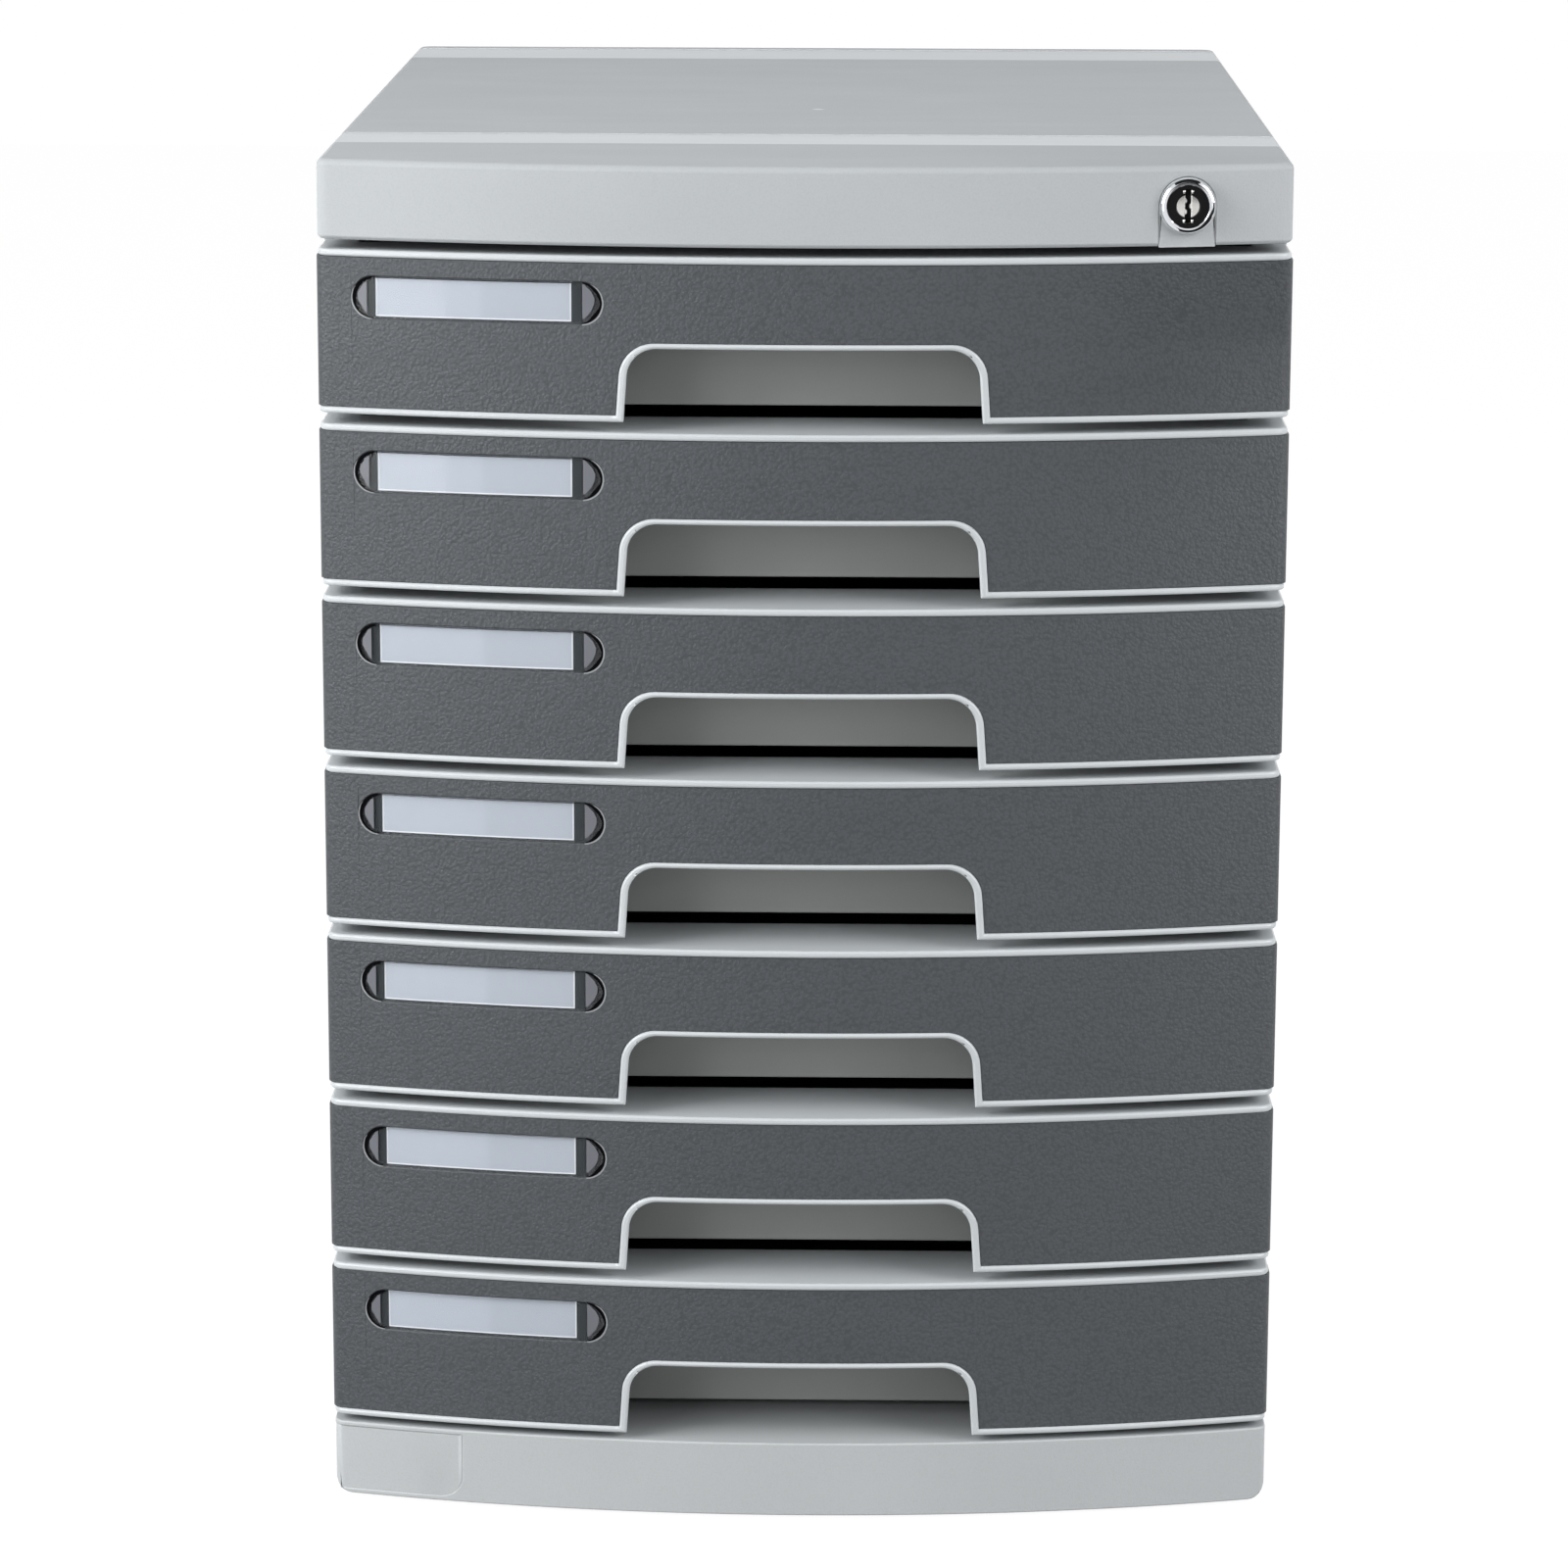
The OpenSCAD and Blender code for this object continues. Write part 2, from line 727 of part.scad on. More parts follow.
// Open bin with a flange along each upper edge and a stop at each rear corner
module drawer_tray(n) {
    z = drawer_z(n);
    color(light_grey)
        translate([0, 0, z])
            union() {
                difference() {
                    block([-tray_half_w, wall_y, tray_z], [tray_half_w, tray_back_y, tray_h]);
                    block([tray_wall - tray_half_w, wall_y + tray_wall, tray_z + floor_t],
                        [tray_half_w - tray_wall, tray_back_y - tray_wall, tray_h + 1]);
                }
                block([-tray_half_w, wall_y, tray_h - 1],
                    [tray_half_w, wall_y + tray_wall, drawer_h - rim_top]);
                for (side = [0, 1])
                    mirror([side, 0, 0]) {
                        block([tray_half_w - 0.5, flange_y, tray_h - flange_t],
                            [flange_half_w, tray_back_y, tray_h]);
                        block([tray_half_w - 0.5, stop_front_y, stop_z],
                            [flange_half_w - 0.3, stop_front_y + stop_w, stop_z + stop_h]);
                    }
            }
}

// Light frame of a drawer front: bowed wall, ledge, rims and end cheeks
module drawer_front(n) {
    ledge_y = wall_y + tray_wall + 0.3;
    color(light_grey)
        translate([0, 0, drawer_z(n)])
            difference() {
                union() {
                    bow_wall(rim_half_w - fascia_back, cheek_y, 0, drawer_h, fascia_back, front_back);
                    bow_wall(rim_half_w, wrap_y, 0, rim_bottom, 0, front_back);
                    bow_plate(rim_half_w, ledge_y, drawer_h - rim_top, drawer_h);
                    for (side = [0, 1])
                        mirror([side, 0, 0]) front_end();
                    intersection() {
                        bow_wall(rim_half_w, wrap_y, 0, cutout_h, 0, front_back);
                        through_front(front_y - 1, corner_y) cutout_outer();
                    }
                }
                through_front(front_y - 1, wall_y - 0.5) cutout_inner();
            }
}

// End of a drawer front, behind the wrap of the dark insert
module front_end() {
    inner_x = tray_half_w + 0.1;
    block([rim_half_w - front_back, wrap_y + rest_fit, 0], [rim_half_w, cheek_y, drawer_h]);
    block([inner_x, cheek_y - 2.2, 0], [rim_half_w, cheek_y, drawer_h]);
    block([inner_x, wall_y, drawer_h - rim_top], [rim_half_w - 1, cheek_y, drawer_h]);
    block([inner_x, wall_y, 4], [inner_x + 1.4, cheek_y, drawer_h]);
}

// Depth of the pocket's floor behind the bow
function pocket_depth() = fascia_back - rest_fit - pocket_floor_t;

// A flat shape in front view, bent along the bow from depth a to depth b
module bent_to_bow(a, b) {
    intersection() {
        bow_wall(half_w + 1, corner_y + 7, 0, drawer_h, a, b);
        through_front(front_y - 2, corner_y + 6) children();
    }
}

// Dark textured insert, set between the rims and wrapped round both ends,
// with a pocket for the label
module drawer_fascia(n) {
    color(dark_grey)
        translate([0, 0, drawer_z(n)])
            difference() {
                bow_wall(fascia_half_w, wrap_y, rim_bottom + rest_fit, drawer_h - rim_top - rest_fit,
                    rim_proud, fascia_back - rest_fit);
                through_front(front_y - 1, corner_y) cutout_outer(rest_fit);
                bent_to_bow(-1, pocket_depth()) window_shape();
            }
}

// Paper label in the pocket
module drawer_label_card(n) {
    card_back = pocket_depth() - rest_fit;
    color(card_white)
        translate([0, 0, drawer_z(n)])
            bent_to_bow(card_back - card_t, card_back)
                translate([-window_x - card_shift, window_z])
                    square([card_w, card_h], center = true);
}

// Clear cap over the label, with a thumb mark at each end and a skirt that stands
// on the pocket's floor
module drawer_label_window(n) {
    face = rim_proud + 0.1;
    color(clear_plastic)
        translate([0, 0, drawer_z(n)])
            difference() {
                bent_to_bow(face, pocket_depth() - rest_fit) window_shape(-rest_fit);
                bent_to_bow(face + cap_t, fascia_back) window_shape(-rest_fit - cap_skirt);
                bent_to_bow(0, face + thumb_depth) thumb_marks();
            }
}

// Front view of the two half-moon thumb marks
module thumb_marks() {
    reach = window_w / 2 - window_h / 2;
    for (side = [-1, 1])
        translate([side * (reach + 0.4) - window_x, window_z])
            intersection() {
                circle(r = window_h / 2 - thumb_rim, $fn = 48);
                translate([side * window_h / 2, 0]) square([window_h, window_h], center = true);
            }
}

// Block on the right wall of the tray that the lock's catch stands in front of
module drawer_striker(n) {
    z = drawer_z(n) + striker_z;
    color(light_grey)
        block([tray_half_w + 0.02, striker_y, z], [flange_half_w, striker_y + striker_t, z + striker_h]);
}

top_cover();
base();
left_side_panel();
right_side_panel();
back_panel();
rubber_feet();
cover_screws();
base_screws();
lock_housing();
lock_barrel();
lock_clip();
lock_rotor();
keyway_ring();
lock_cam();
cam_screw();
lock_bar();
lock_catches();
for (n = [1 : drawer_count]) {
    drawer_tray(n);
    drawer_front(n);
    drawer_fascia(n);
    drawer_label_card(n);
    drawer_label_window(n);
    drawer_striker(n);
}
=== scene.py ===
"""The looks of a desktop file cabinet: mouldings, label windows, lock, finishes, studio and camera."""

import json
import logging
import math
from dataclasses import dataclass, field
from enum import Enum
from typing import Callable, Iterable, Sequence

import bmesh
import bpy
from mathutils import Matrix, Vector

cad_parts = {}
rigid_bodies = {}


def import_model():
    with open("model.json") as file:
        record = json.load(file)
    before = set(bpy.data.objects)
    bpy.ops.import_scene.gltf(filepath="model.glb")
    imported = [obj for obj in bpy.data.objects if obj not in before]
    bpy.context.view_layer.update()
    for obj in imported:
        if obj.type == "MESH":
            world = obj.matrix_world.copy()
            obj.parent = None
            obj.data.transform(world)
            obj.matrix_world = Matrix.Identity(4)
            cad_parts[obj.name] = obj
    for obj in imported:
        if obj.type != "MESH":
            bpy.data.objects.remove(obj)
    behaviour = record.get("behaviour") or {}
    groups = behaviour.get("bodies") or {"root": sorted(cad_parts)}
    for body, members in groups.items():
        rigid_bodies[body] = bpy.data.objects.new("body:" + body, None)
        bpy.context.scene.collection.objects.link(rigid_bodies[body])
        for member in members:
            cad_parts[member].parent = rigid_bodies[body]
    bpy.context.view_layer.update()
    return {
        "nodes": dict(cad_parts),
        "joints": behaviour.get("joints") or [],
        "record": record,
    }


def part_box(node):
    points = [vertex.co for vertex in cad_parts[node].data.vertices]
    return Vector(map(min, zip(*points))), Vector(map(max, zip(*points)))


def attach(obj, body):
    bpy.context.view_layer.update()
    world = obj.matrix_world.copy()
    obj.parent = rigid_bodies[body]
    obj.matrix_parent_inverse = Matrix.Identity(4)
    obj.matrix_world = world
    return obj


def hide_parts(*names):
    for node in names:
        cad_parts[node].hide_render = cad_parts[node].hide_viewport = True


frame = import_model()

log = logging.getLogger("file_cabinet")

MM = 0.001
DRAWERS = range(1, 8)
DUST_COLOUR = (0.62, 0.61, 0.58)
WHITE = (1.0, 1.0, 1.0, 1.0)

Colour = tuple[float, float, float]
Point = tuple[float, float, float]


def srgb(red: int, green: int, blue: int) -> Colour:
    """Turns a colour on the 0 to 255 scale into linear light.

    Args:
        red: The red channel.
        green: The green channel.
        blue: The blue channel.

    Returns:
        The linear colour.
    """
    def channel(value: int) -> float:
        """Returns one channel in linear light."""
        share = value / 255
        return share / 12.92 if share <= 0.04045 else ((share + 0.055) / 1.055) ** 2.4

    return channel(red), channel(green), channel(blue)


def scaled(colour: Colour, share: float) -> Colour:
    """Makes a colour darker or lighter.

    Args:
        colour: The linear colour.
        share: What each channel is multiplied by.

    Returns:
        The colour, with no channel above 1.
    """
    return tuple(min(channel * share, 1.0) for channel in colour)


# ---- Shader groups ----


class ShaderBuilder:
    """A short way to write a node tree.

    Args:
        tree: The node tree that the nodes go into.
    """

    def __init__(self, tree: bpy.types.NodeTree) -> None:
        """Keeps the tree."""
        self.tree = tree

    def node(self, kind: str, settings: dict | None = None, **inputs: object) -> bpy.types.Node:
        """Adds a node.

        Args:
            kind: The node's Blender type.
            settings: Properties to set on the node.
            **inputs: Values or sockets for its inputs, by name with underscores for spaces,
                or by number after the letter i.

        Returns:
            The new node.
        """
        made = self.tree.nodes.new(kind)
        for key, value in (settings or {}).items():
            setattr(made, key, value)
        self.feed(made, **inputs)
        return made

    def feed(self, node: bpy.types.Node, **inputs: object) -> None:
        """Connects or sets inputs of a node.

        Args:
            node: The node.
            **inputs: Values or sockets, named as for the method node.
        """
        for key, value in inputs.items():
            numbered = key[0] == "i" and key[1:].isdigit()
            socket = node.inputs[int(key[1:]) if numbered else key.replace("_", " ")]
            if isinstance(value, bpy.types.NodeSocket):
                self.tree.links.new(value, socket)
            else:
                socket.default_value = value

    def group(self, tree: bpy.types.NodeTree, **inputs: object) -> bpy.types.Node:
        """Adds a shared group.

        Args:
            tree: The group's tree.
            **inputs: Values or sockets, by name with underscores for spaces.

        Returns:
            The group's node.
        """
        return self.node("ShaderNodeGroup", {"node_tree": tree}, **inputs)

    def math(self, operation: str, first: object, second: object = 0.0,
             clamp: bool = False) -> bpy.types.NodeSocket:
        """Adds a math node.

        Args:
            operation: The node's operation.
            first: Its first value or socket.
            second: Its second value or socket.
            clamp: Whether the result is kept between 0 and 1.

        Returns:
            The node's output.
        """
        settings = {"operation": operation, "use_clamp": clamp}
        return self.node("ShaderNodeMath", settings, i0=first, i1=second).outputs[0]

    def remap(self, value: object, low: float, high: float, out_low: float = 0.0,
              out_high: float = 1.0) -> bpy.types.NodeSocket:
        """Adds a smooth step from one range to another.

        Args:
            value: The value or socket to map.
            low: The low end of the value's range.
            high: The high end of the value's range.
            out_low: What the low end becomes.
            out_high: What the high end becomes.

        Returns:
            The node's output.
        """
        node = self.node("ShaderNodeMapRange", {"interpolation_type": "SMOOTHSTEP"}, i0=value,
                         i1=low, i2=high, i3=out_low, i4=out_high)
        return node.outputs[0]

    def mix(self, factor: object, first: object, second: object) -> bpy.types.NodeSocket:
        """Adds a colour mix.

        Args:
            factor: The share of the second colour.
            first: The first colour or socket.
            second: The second colour or socket.

        Returns:
            The mixed colour.
        """
        node = self.tree.nodes.new("ShaderNodeMix")
        node.data_type = "RGBA"
        for index, value in ((0, factor), (6, first), (7, second)):
            if isinstance(value, bpy.types.NodeSocket):
                self.tree.links.new(value, node.inputs[index])
            elif index and len(value) == 3:
                node.inputs[index].default_value = (*value, 1.0)
            else:
                node.inputs[index].default_value = value
        return node.outputs[2]


def emptied(owner: bpy.types.Material | bpy.types.World) -> ShaderBuilder:
    """Clears the node tree of a material or a world.

    Args:
        owner: The material or world.

    Returns:
        A builder of its tree.
    """
    owner.use_nodes = True
    owner.node_tree.nodes.clear()
    return ShaderBuilder(owner.node_tree)


def blank_material(name: str) -> tuple[bpy.types.Material, ShaderBuilder]:
    """Makes a material with an empty tree.

    Args:
        name: The material's name.

    Returns:
        The material, and a builder of its tree.
    """
    made = bpy.data.materials.new(name)
    return made, emptied(made)


def add_inputs(tree: bpy.types.NodeTree,
               inputs: Sequence[tuple[str, str, object]]) -> dict[str, str]:
    """Adds named inputs to a node group.

    Args:
        tree: The group's tree.
        inputs: Each input's name, kind and default value, which is None where there is none.

    Returns:
        Each input's identifier, by name.
    """
    ids: dict[str, str] = {}
    for name, kind, value in inputs:
        socket = tree.interface.new_socket(name, in_out="INPUT", socket_type=f"NodeSocket{kind}")
        if value is not None:
            socket.default_value = value
        ids[name] = socket.identifier
    return ids


@dataclass
class GroupSpec:
    """A shader node group with named sockets.

    Args:
        name: The group's name.
        inputs: Each input's name, kind and default value.
        outputs: Each output's name and kind.
    """

    name: str
    inputs: Sequence[tuple[str, str, object]]
    outputs: Sequence[tuple[str, str]]

    def start(self) -> tuple[ShaderBuilder, bpy.types.Node, bpy.types.Node]:
        """Makes the empty group.

        Returns:
            The builder, the group's input node and its output node.
        """
        tree = bpy.data.node_groups.new(self.name, "ShaderNodeTree")
        add_inputs(tree, self.inputs)
        for name, kind in self.outputs:
            tree.interface.new_socket(name, in_out="OUTPUT", socket_type=f"NodeSocket{kind}")
        return (ShaderBuilder(tree), tree.nodes.new("NodeGroupInput"),
                tree.nodes.new("NodeGroupOutput"))


class ShaderGroups:
    """The effects that several finishes share."""

    def __init__(self) -> None:
        """Builds every group once."""
        self.grain = self._grain()
        self.mottle = self._mottle()
        self.dust = self._dust()
        self.edge_wear_and_highlight = self._edge_wear_and_highlight()
        self.brushing = self._brushing()
        self.built: dict[str, bpy.types.Material] = {}

    @staticmethod
    def _grain() -> bpy.types.NodeTree:
        """Builds the moulded grain: rounded pebbles with narrow valleys.

        Returns:
            The group, with the outputs Height and Valley.
        """
        spec = GroupSpec("moulded_grain",
                         [("Vector", "Vector", None), ("Pebble Size", "Float", 1.0),
                          ("Roughening", "Float", 0.5)],
                         [("Height", "Float"), ("Valley", "Float")])
        build, given, result = spec.start()
        size = build.math("DIVIDE", 1.0 / MM, given.outputs["Pebble Size"])
        warp = build.node("ShaderNodeTexNoise", Vector=given.outputs["Vector"], Scale=size, Detail=1.0)
        shift = build.node("ShaderNodeVectorMath", {"operation": "SCALE"}, i0=warp.outputs["Color"],
                           Scale=0.7 * MM)
        moved = build.node("ShaderNodeVectorMath", {"operation": "ADD"}, i0=given.outputs["Vector"],
                           i1=shift.outputs[0])
        cells = build.node("ShaderNodeTexVoronoi", {"feature": "SMOOTH_F1"}, Vector=moved.outputs[0],
                           Scale=size, Smoothness=0.6)
        fine = build.node("ShaderNodeTexNoise", Vector=given.outputs["Vector"],
                          Scale=build.math("MULTIPLY", size, 1.9), Detail=2.0, Roughness=0.6)
        pebble = build.math("SUBTRACT", 1.0, cells.outputs["Distance"])
        height = build.math("ADD", pebble,
                            build.math("MULTIPLY", fine.outputs[0], given.outputs["Roughening"]))
        build.feed(result, Height=height, Valley=build.remap(height, 0.95, 0.45))
        return build.tree

    @staticmethod
    def _mottle() -> bpy.types.NodeTree:
        """Builds the slow unevenness of moulded plastic.

        Returns:
            The group, with the outputs Tint and Flow.
        """
        spec = GroupSpec("moulding_mottle",
                         [("Vector", "Vector", None), ("Patch Size", "Float", 60.0)],
                         [("Tint", "Float"), ("Flow", "Float")])
        build, given, result = spec.start()
        scale = build.math("DIVIDE", 1.0 / MM, given.outputs["Patch Size"])
        slow = build.node("ShaderNodeTexNoise", Vector=given.outputs["Vector"], Scale=scale, Detail=3.0)
        stretched = build.node("ShaderNodeMapping", Vector=given.outputs["Vector"],
                               Scale=(0.25, 1.0, 2.0))
        flow = build.node("ShaderNodeTexNoise", Vector=stretched.outputs[0],
                          Scale=build.math("MULTIPLY", scale, 3.0), Detail=2.0)
        build.feed(result, Tint=slow.outputs[0], Flow=flow.outputs[0])
        return build.tree

    @staticmethod
    def _dust() -> bpy.types.NodeTree:
        """Builds a thin veil of dust on what faces up.

        Returns:
            The group, with the output Dust.
        """
        spec = GroupSpec("settled_dust", [("Vector", "Vector", None), ("Amount", "Float", 0.2)],
                         [("Dust", "Float")])
        build, given, result = spec.start()
        normal = build.node("ShaderNodeNewGeometry").outputs["Normal"]
        up = build.node("ShaderNodeSeparateXYZ", i0=normal).outputs["Z"]
        specks = build.node("ShaderNodeTexNoise", Vector=given.outputs["Vector"], Scale=900.0,
                            Detail=4.0, Roughness=0.7)
        patches = build.node("ShaderNodeTexNoise", Vector=given.outputs["Vector"], Scale=24.0,
                             Detail=2.0)
        veil = build.math("MULTIPLY", build.remap(specks.outputs[0], 0.48, 0.72),
                          build.remap(patches.outputs[0], 0.35, 0.7, 0.4, 1.0))
        facing = build.math("MULTIPLY", build.remap(up, 0.6, 0.98), veil)
        build.feed(result, Dust=build.math("MULTIPLY", facing, given.outputs["Amount"], True))
        return build.tree

    @staticmethod
    def _edge_wear_and_highlight() -> bpy.types.NodeTree:
        """Builds a mask of the rounded edges, broken up a little, that lightens them partly as wear and
        partly as a painted highlight.

        Returns:
            The group, with the output Wear.
        """
        spec = GroupSpec("edge_wear_and_highlight",
                         [("Vector", "Vector", None), ("Width", "Float", 1.0),
                          ("Amount", "Float", 0.5)],
                         [("Wear", "Float")])
        build, given, result = spec.start()
        radius = build.math("MULTIPLY", given.outputs["Width"], MM)
        soft = build.node("ShaderNodeBevel", {"samples": 4}, Radius=radius)
        plain = build.node("ShaderNodeNewGeometry")
        turn = build.node("ShaderNodeVectorMath", {"operation": "DOT_PRODUCT"}, i0=soft.outputs[0],
                          i1=plain.outputs["Normal"])
        edge = build.remap(turn.outputs["Value"], 0.995, 0.86)
        broken = build.node("ShaderNodeTexNoise", Vector=given.outputs["Vector"], Scale=160.0,
                            Detail=3.0)
        worn_and_lit = build.math("MULTIPLY", edge, build.remap(broken.outputs[0], 0.35, 0.6, 0.35, 1.0))
        build.feed(result, Wear=build.math("MULTIPLY", worn_and_lit, given.outputs["Amount"], True))
        return build.tree

    @staticmethod
    def _brushing() -> bpy.types.NodeTree:
        """Builds fine tool marks: rings about an axis, or straight drawn lines.

        Returns:
            The group, with the outputs Height and Shade.
        """
        spec = GroupSpec("tool_marks",
                         [("Vector", "Vector", None), ("Rings", "Float", 1.0),
                          ("Pitch", "Float", 0.12)],
                         [("Height", "Float"), ("Shade", "Float")])
        build, given, result = spec.start()
        parts = build.node("ShaderNodeSeparateXYZ", i0=given.outputs["Vector"])
        flat = build.node("ShaderNodeCombineXYZ", i0=parts.outputs["X"], i2=parts.outputs["Z"])
        radius = build.node("ShaderNodeVectorMath", {"operation": "LENGTH"}, i0=flat.outputs[0])
        across = build.node("ShaderNodeMix", i0=given.outputs["Rings"], i2=parts.outputs["X"],
                            i3=radius.outputs["Value"]).outputs[0]
        line = build.node("ShaderNodeCombineXYZ", i0=across)
        scale = build.math("DIVIDE", 1.0 / MM, given.outputs["Pitch"])
        marks = build.node("ShaderNodeTexNoise", Vector=line.outputs[0], Scale=scale, Detail=3.0,
                           Roughness=0.7)
        build.feed(result, Height=marks.outputs[0], Shade=build.remap(marks.outputs[0], 0.3, 0.7))
        return build.tree


# ---- Finishes ----


class Grain(Enum):
    """Moulded textures: pebble size and depth in millimetres, and how much painted shade darkens the
    valleys.
    """

    POLISHED = (0.6, 0.0, 0.0)
    SATIN = (0.45, 0.012, 0.03)
    MATT = (0.55, 0.03, 0.06)
    PEBBLED = (1.05, 0.15, 0.34)

    @property
    def size(self) -> float:
        """The pebble size in millimetres."""
        return self.value[0]

    @property
    def depth(self) -> float:
        """The depth in millimetres."""
        return self.value[1]

    @property
    def shade(self) -> float:
        """How much painted shade darkens the valleys' colour."""
        return self.value[2]


class Marks(Enum):
    """Ways a metal surface is worked: share of rings, and pitch of the marks in millimetres."""

    TURNED = (1.0, 0.16)
    DRAWN = (0.0, 0.35)

    @property
    def rings(self) -> float:
        """1 for rings about the axis, 0 for straight lines."""
        return self.value[0]

    @property
    def pitch(self) -> float:
        """The pitch of the marks in millimetres."""
        return self.value[1]


class Finish:
    """A finish that is built into a Blender material the first time it is asked for."""

    name: str
    slot: str

    def material(self, groups: ShaderGroups) -> bpy.types.Material:
        """Finds or builds the material.

        Args:
            groups: The shared shader groups.

        Returns:
            The material.
        """
        if self.name in groups.built:
            return groups.built[self.name]
        made, build = blank_material(self.name)
        groups.built[self.name] = made
        surface = build.node("ShaderNodeBsdfPrincipled")
        build.node("ShaderNodeOutputMaterial", Surface=surface.outputs[0])
        self.wire(build, surface, groups)
        return made

    def wire(self, build: ShaderBuilder, surface: bpy.types.Node, groups: ShaderGroups) -> None:
        """Connects the finish to the surface shader.

        Args:
            build: The material's builder.
            surface: The Principled shader.
            groups: The shared shader groups.
        """
        raise NotImplementedError


@dataclass(frozen=True)
class MouldedPlastic(Finish):
    """Injection-moulded plastic.

    Args:
        name: The material's name.
        slot: The record's material slot; not used.
        colour: The plastic's linear colour.
        roughness: Its roughness.
        grain: Its moulded texture.
        dust: How much dust lies on what faces up.
        wear: How much lighter the rounded edges are, partly wear and partly a painted highlight.
        smooth_bands: Ranges along Y, in metres, that are left smooth on what faces up.
        specular: The level of its plain gloss.
        gate: The moulding gate's mark on what faces up: its place in plan and its radius, in
            metres.
        patch: The size of its uneven patches, in millimetres.
        uneven: How much lighter and darker they are.
        wear_highlight_w: The width of the lighter edges, wear and painted highlight, in millimetres.
        band_sheen: How many times lighter the smooth bands are painted, as a painted sheen.
        band_gloss: How much less rough they are.
    """

    name: str
    slot: str
    colour: Colour
    roughness: float
    grain: Grain
    dust: float = 0.0
    wear: float = 0.0
    smooth_bands: tuple[tuple[float, float], ...] = ()
    specular: float = 0.5
    gate: Point | None = None
    patch: float = 55.0
    uneven: float = 0.05
    wear_highlight_w: float = 1.3
    band_sheen: float = 1.32
    band_gloss: float = 0.2

    def _gate_mask(self, build: ShaderBuilder, place: bpy.types.NodeSocket) -> bpy.types.NodeSocket:
        """Masks the mark of the moulding gate.

        Args:
            build: The material's builder.
            place: The object coordinates.

        Returns:
            1 in its middle and 0 outside.
        """
        x, y, radius = self.gate
        parts = build.node("ShaderNodeSeparateXYZ", i0=place)
        flat = build.node("ShaderNodeCombineXYZ", i0=parts.outputs["X"], i1=parts.outputs["Y"])
        away = build.node("ShaderNodeVectorMath", {"operation": "DISTANCE"}, i0=flat.outputs[0],
                          i1=(x, y, 0.0))
        return build.remap(away.outputs["Value"], radius, radius * 0.5)

    def _band_mask(self, build: ShaderBuilder, place: bpy.types.NodeSocket) -> bpy.types.NodeSocket:
        """Masks the smooth bands.

        Args:
            build: The material's builder.
            place: The object coordinates.

        Returns:
            1 inside a band and 0 outside.
        """
        along = build.node("ShaderNodeSeparateXYZ", i0=place).outputs["Y"]
        total: object = 0.0
        for low, high in self.smooth_bands:
            inside = build.math("MULTIPLY", build.math("GREATER_THAN", along, low),
                                build.math("LESS_THAN", along, high))
            total = build.math("ADD", total, inside, True)
        normal = build.node("ShaderNodeNewGeometry").outputs["Normal"]
        up = build.node("ShaderNodeSeparateXYZ", i0=normal).outputs["Z"]
        return build.math("MULTIPLY", total, build.remap(up, 0.7, 0.95))

    def wire(self, build: ShaderBuilder, surface: bpy.types.Node, groups: ShaderGroups) -> None:
        """Connects colour, roughness and relief.

        Args:
            build: The material's builder.
            surface: The Principled shader.
            groups: The shared shader groups.
        """
        place = build.node("ShaderNodeTexCoord").outputs["Object"]
        mottle = build.group(groups.mottle, Vector=place, Patch_Size=self.patch)
        colour = build.mix(mottle.outputs["Tint"], scaled(self.colour, 1 - self.uneven),
                           scaled(self.colour, 1 + self.uneven))
        rough = build.remap(mottle.outputs["Flow"], 0.3, 0.7, self.roughness - 0.03,
                            self.roughness + 0.03)
        if self.grain.depth:
            grain = build.group(groups.grain, Vector=place, Pebble_Size=self.grain.size)
            # Painted shade: the grain's valleys are darkened in colour.
            valley_shade = build.math("MULTIPLY", grain.outputs["Valley"], self.grain.shade)
            colour = build.mix(valley_shade, colour, scaled(self.colour, 0.3))
            depth: object = 1.0
            if self.smooth_bands:
                band = self._band_mask(build, place)
                if self.gate:
                    band = build.math("MAXIMUM", band, self._gate_mask(build, place))
                depth = build.math("SUBTRACT", 1.0, band)
                # Painted sheen: the smooth bands and the gate mark are coloured lighter, besides being
                # less rough.
                colour = build.mix(band, colour, scaled(self.colour, self.band_sheen))
                smoother = build.math("MULTIPLY", band, self.band_gloss)
                rough = build.math("SUBTRACT", rough, smoother)
            relief = build.math("MULTIPLY", grain.outputs["Height"], depth)
            bump = build.node("ShaderNodeBump", Height=relief, Distance=self.grain.depth * MM)
            build.feed(surface, Normal=bump.outputs[0])
        # Lighter rounded edges: partly wear, partly a painted highlight where the edges catch the light.
        if self.wear:
            wear = build.group(groups.edge_wear_and_highlight, Vector=place, Width=self.wear_highlight_w, Amount=self.wear)
            bright = tuple(channel * 0.45 + 0.45 for channel in self.colour)
            colour = build.mix(wear.outputs["Wear"], colour, bright)
        if self.dust:
            dust = build.group(groups.dust, Vector=place, Amount=self.dust)
            colour = build.mix(dust.outputs["Dust"], colour, DUST_COLOUR)
            rough = build.math("ADD", rough, build.math("MULTIPLY", dust.outputs["Dust"], 0.4), True)
        build.feed(surface, Base_Color=colour, Roughness=rough, Specular_IOR_Level=self.specular)


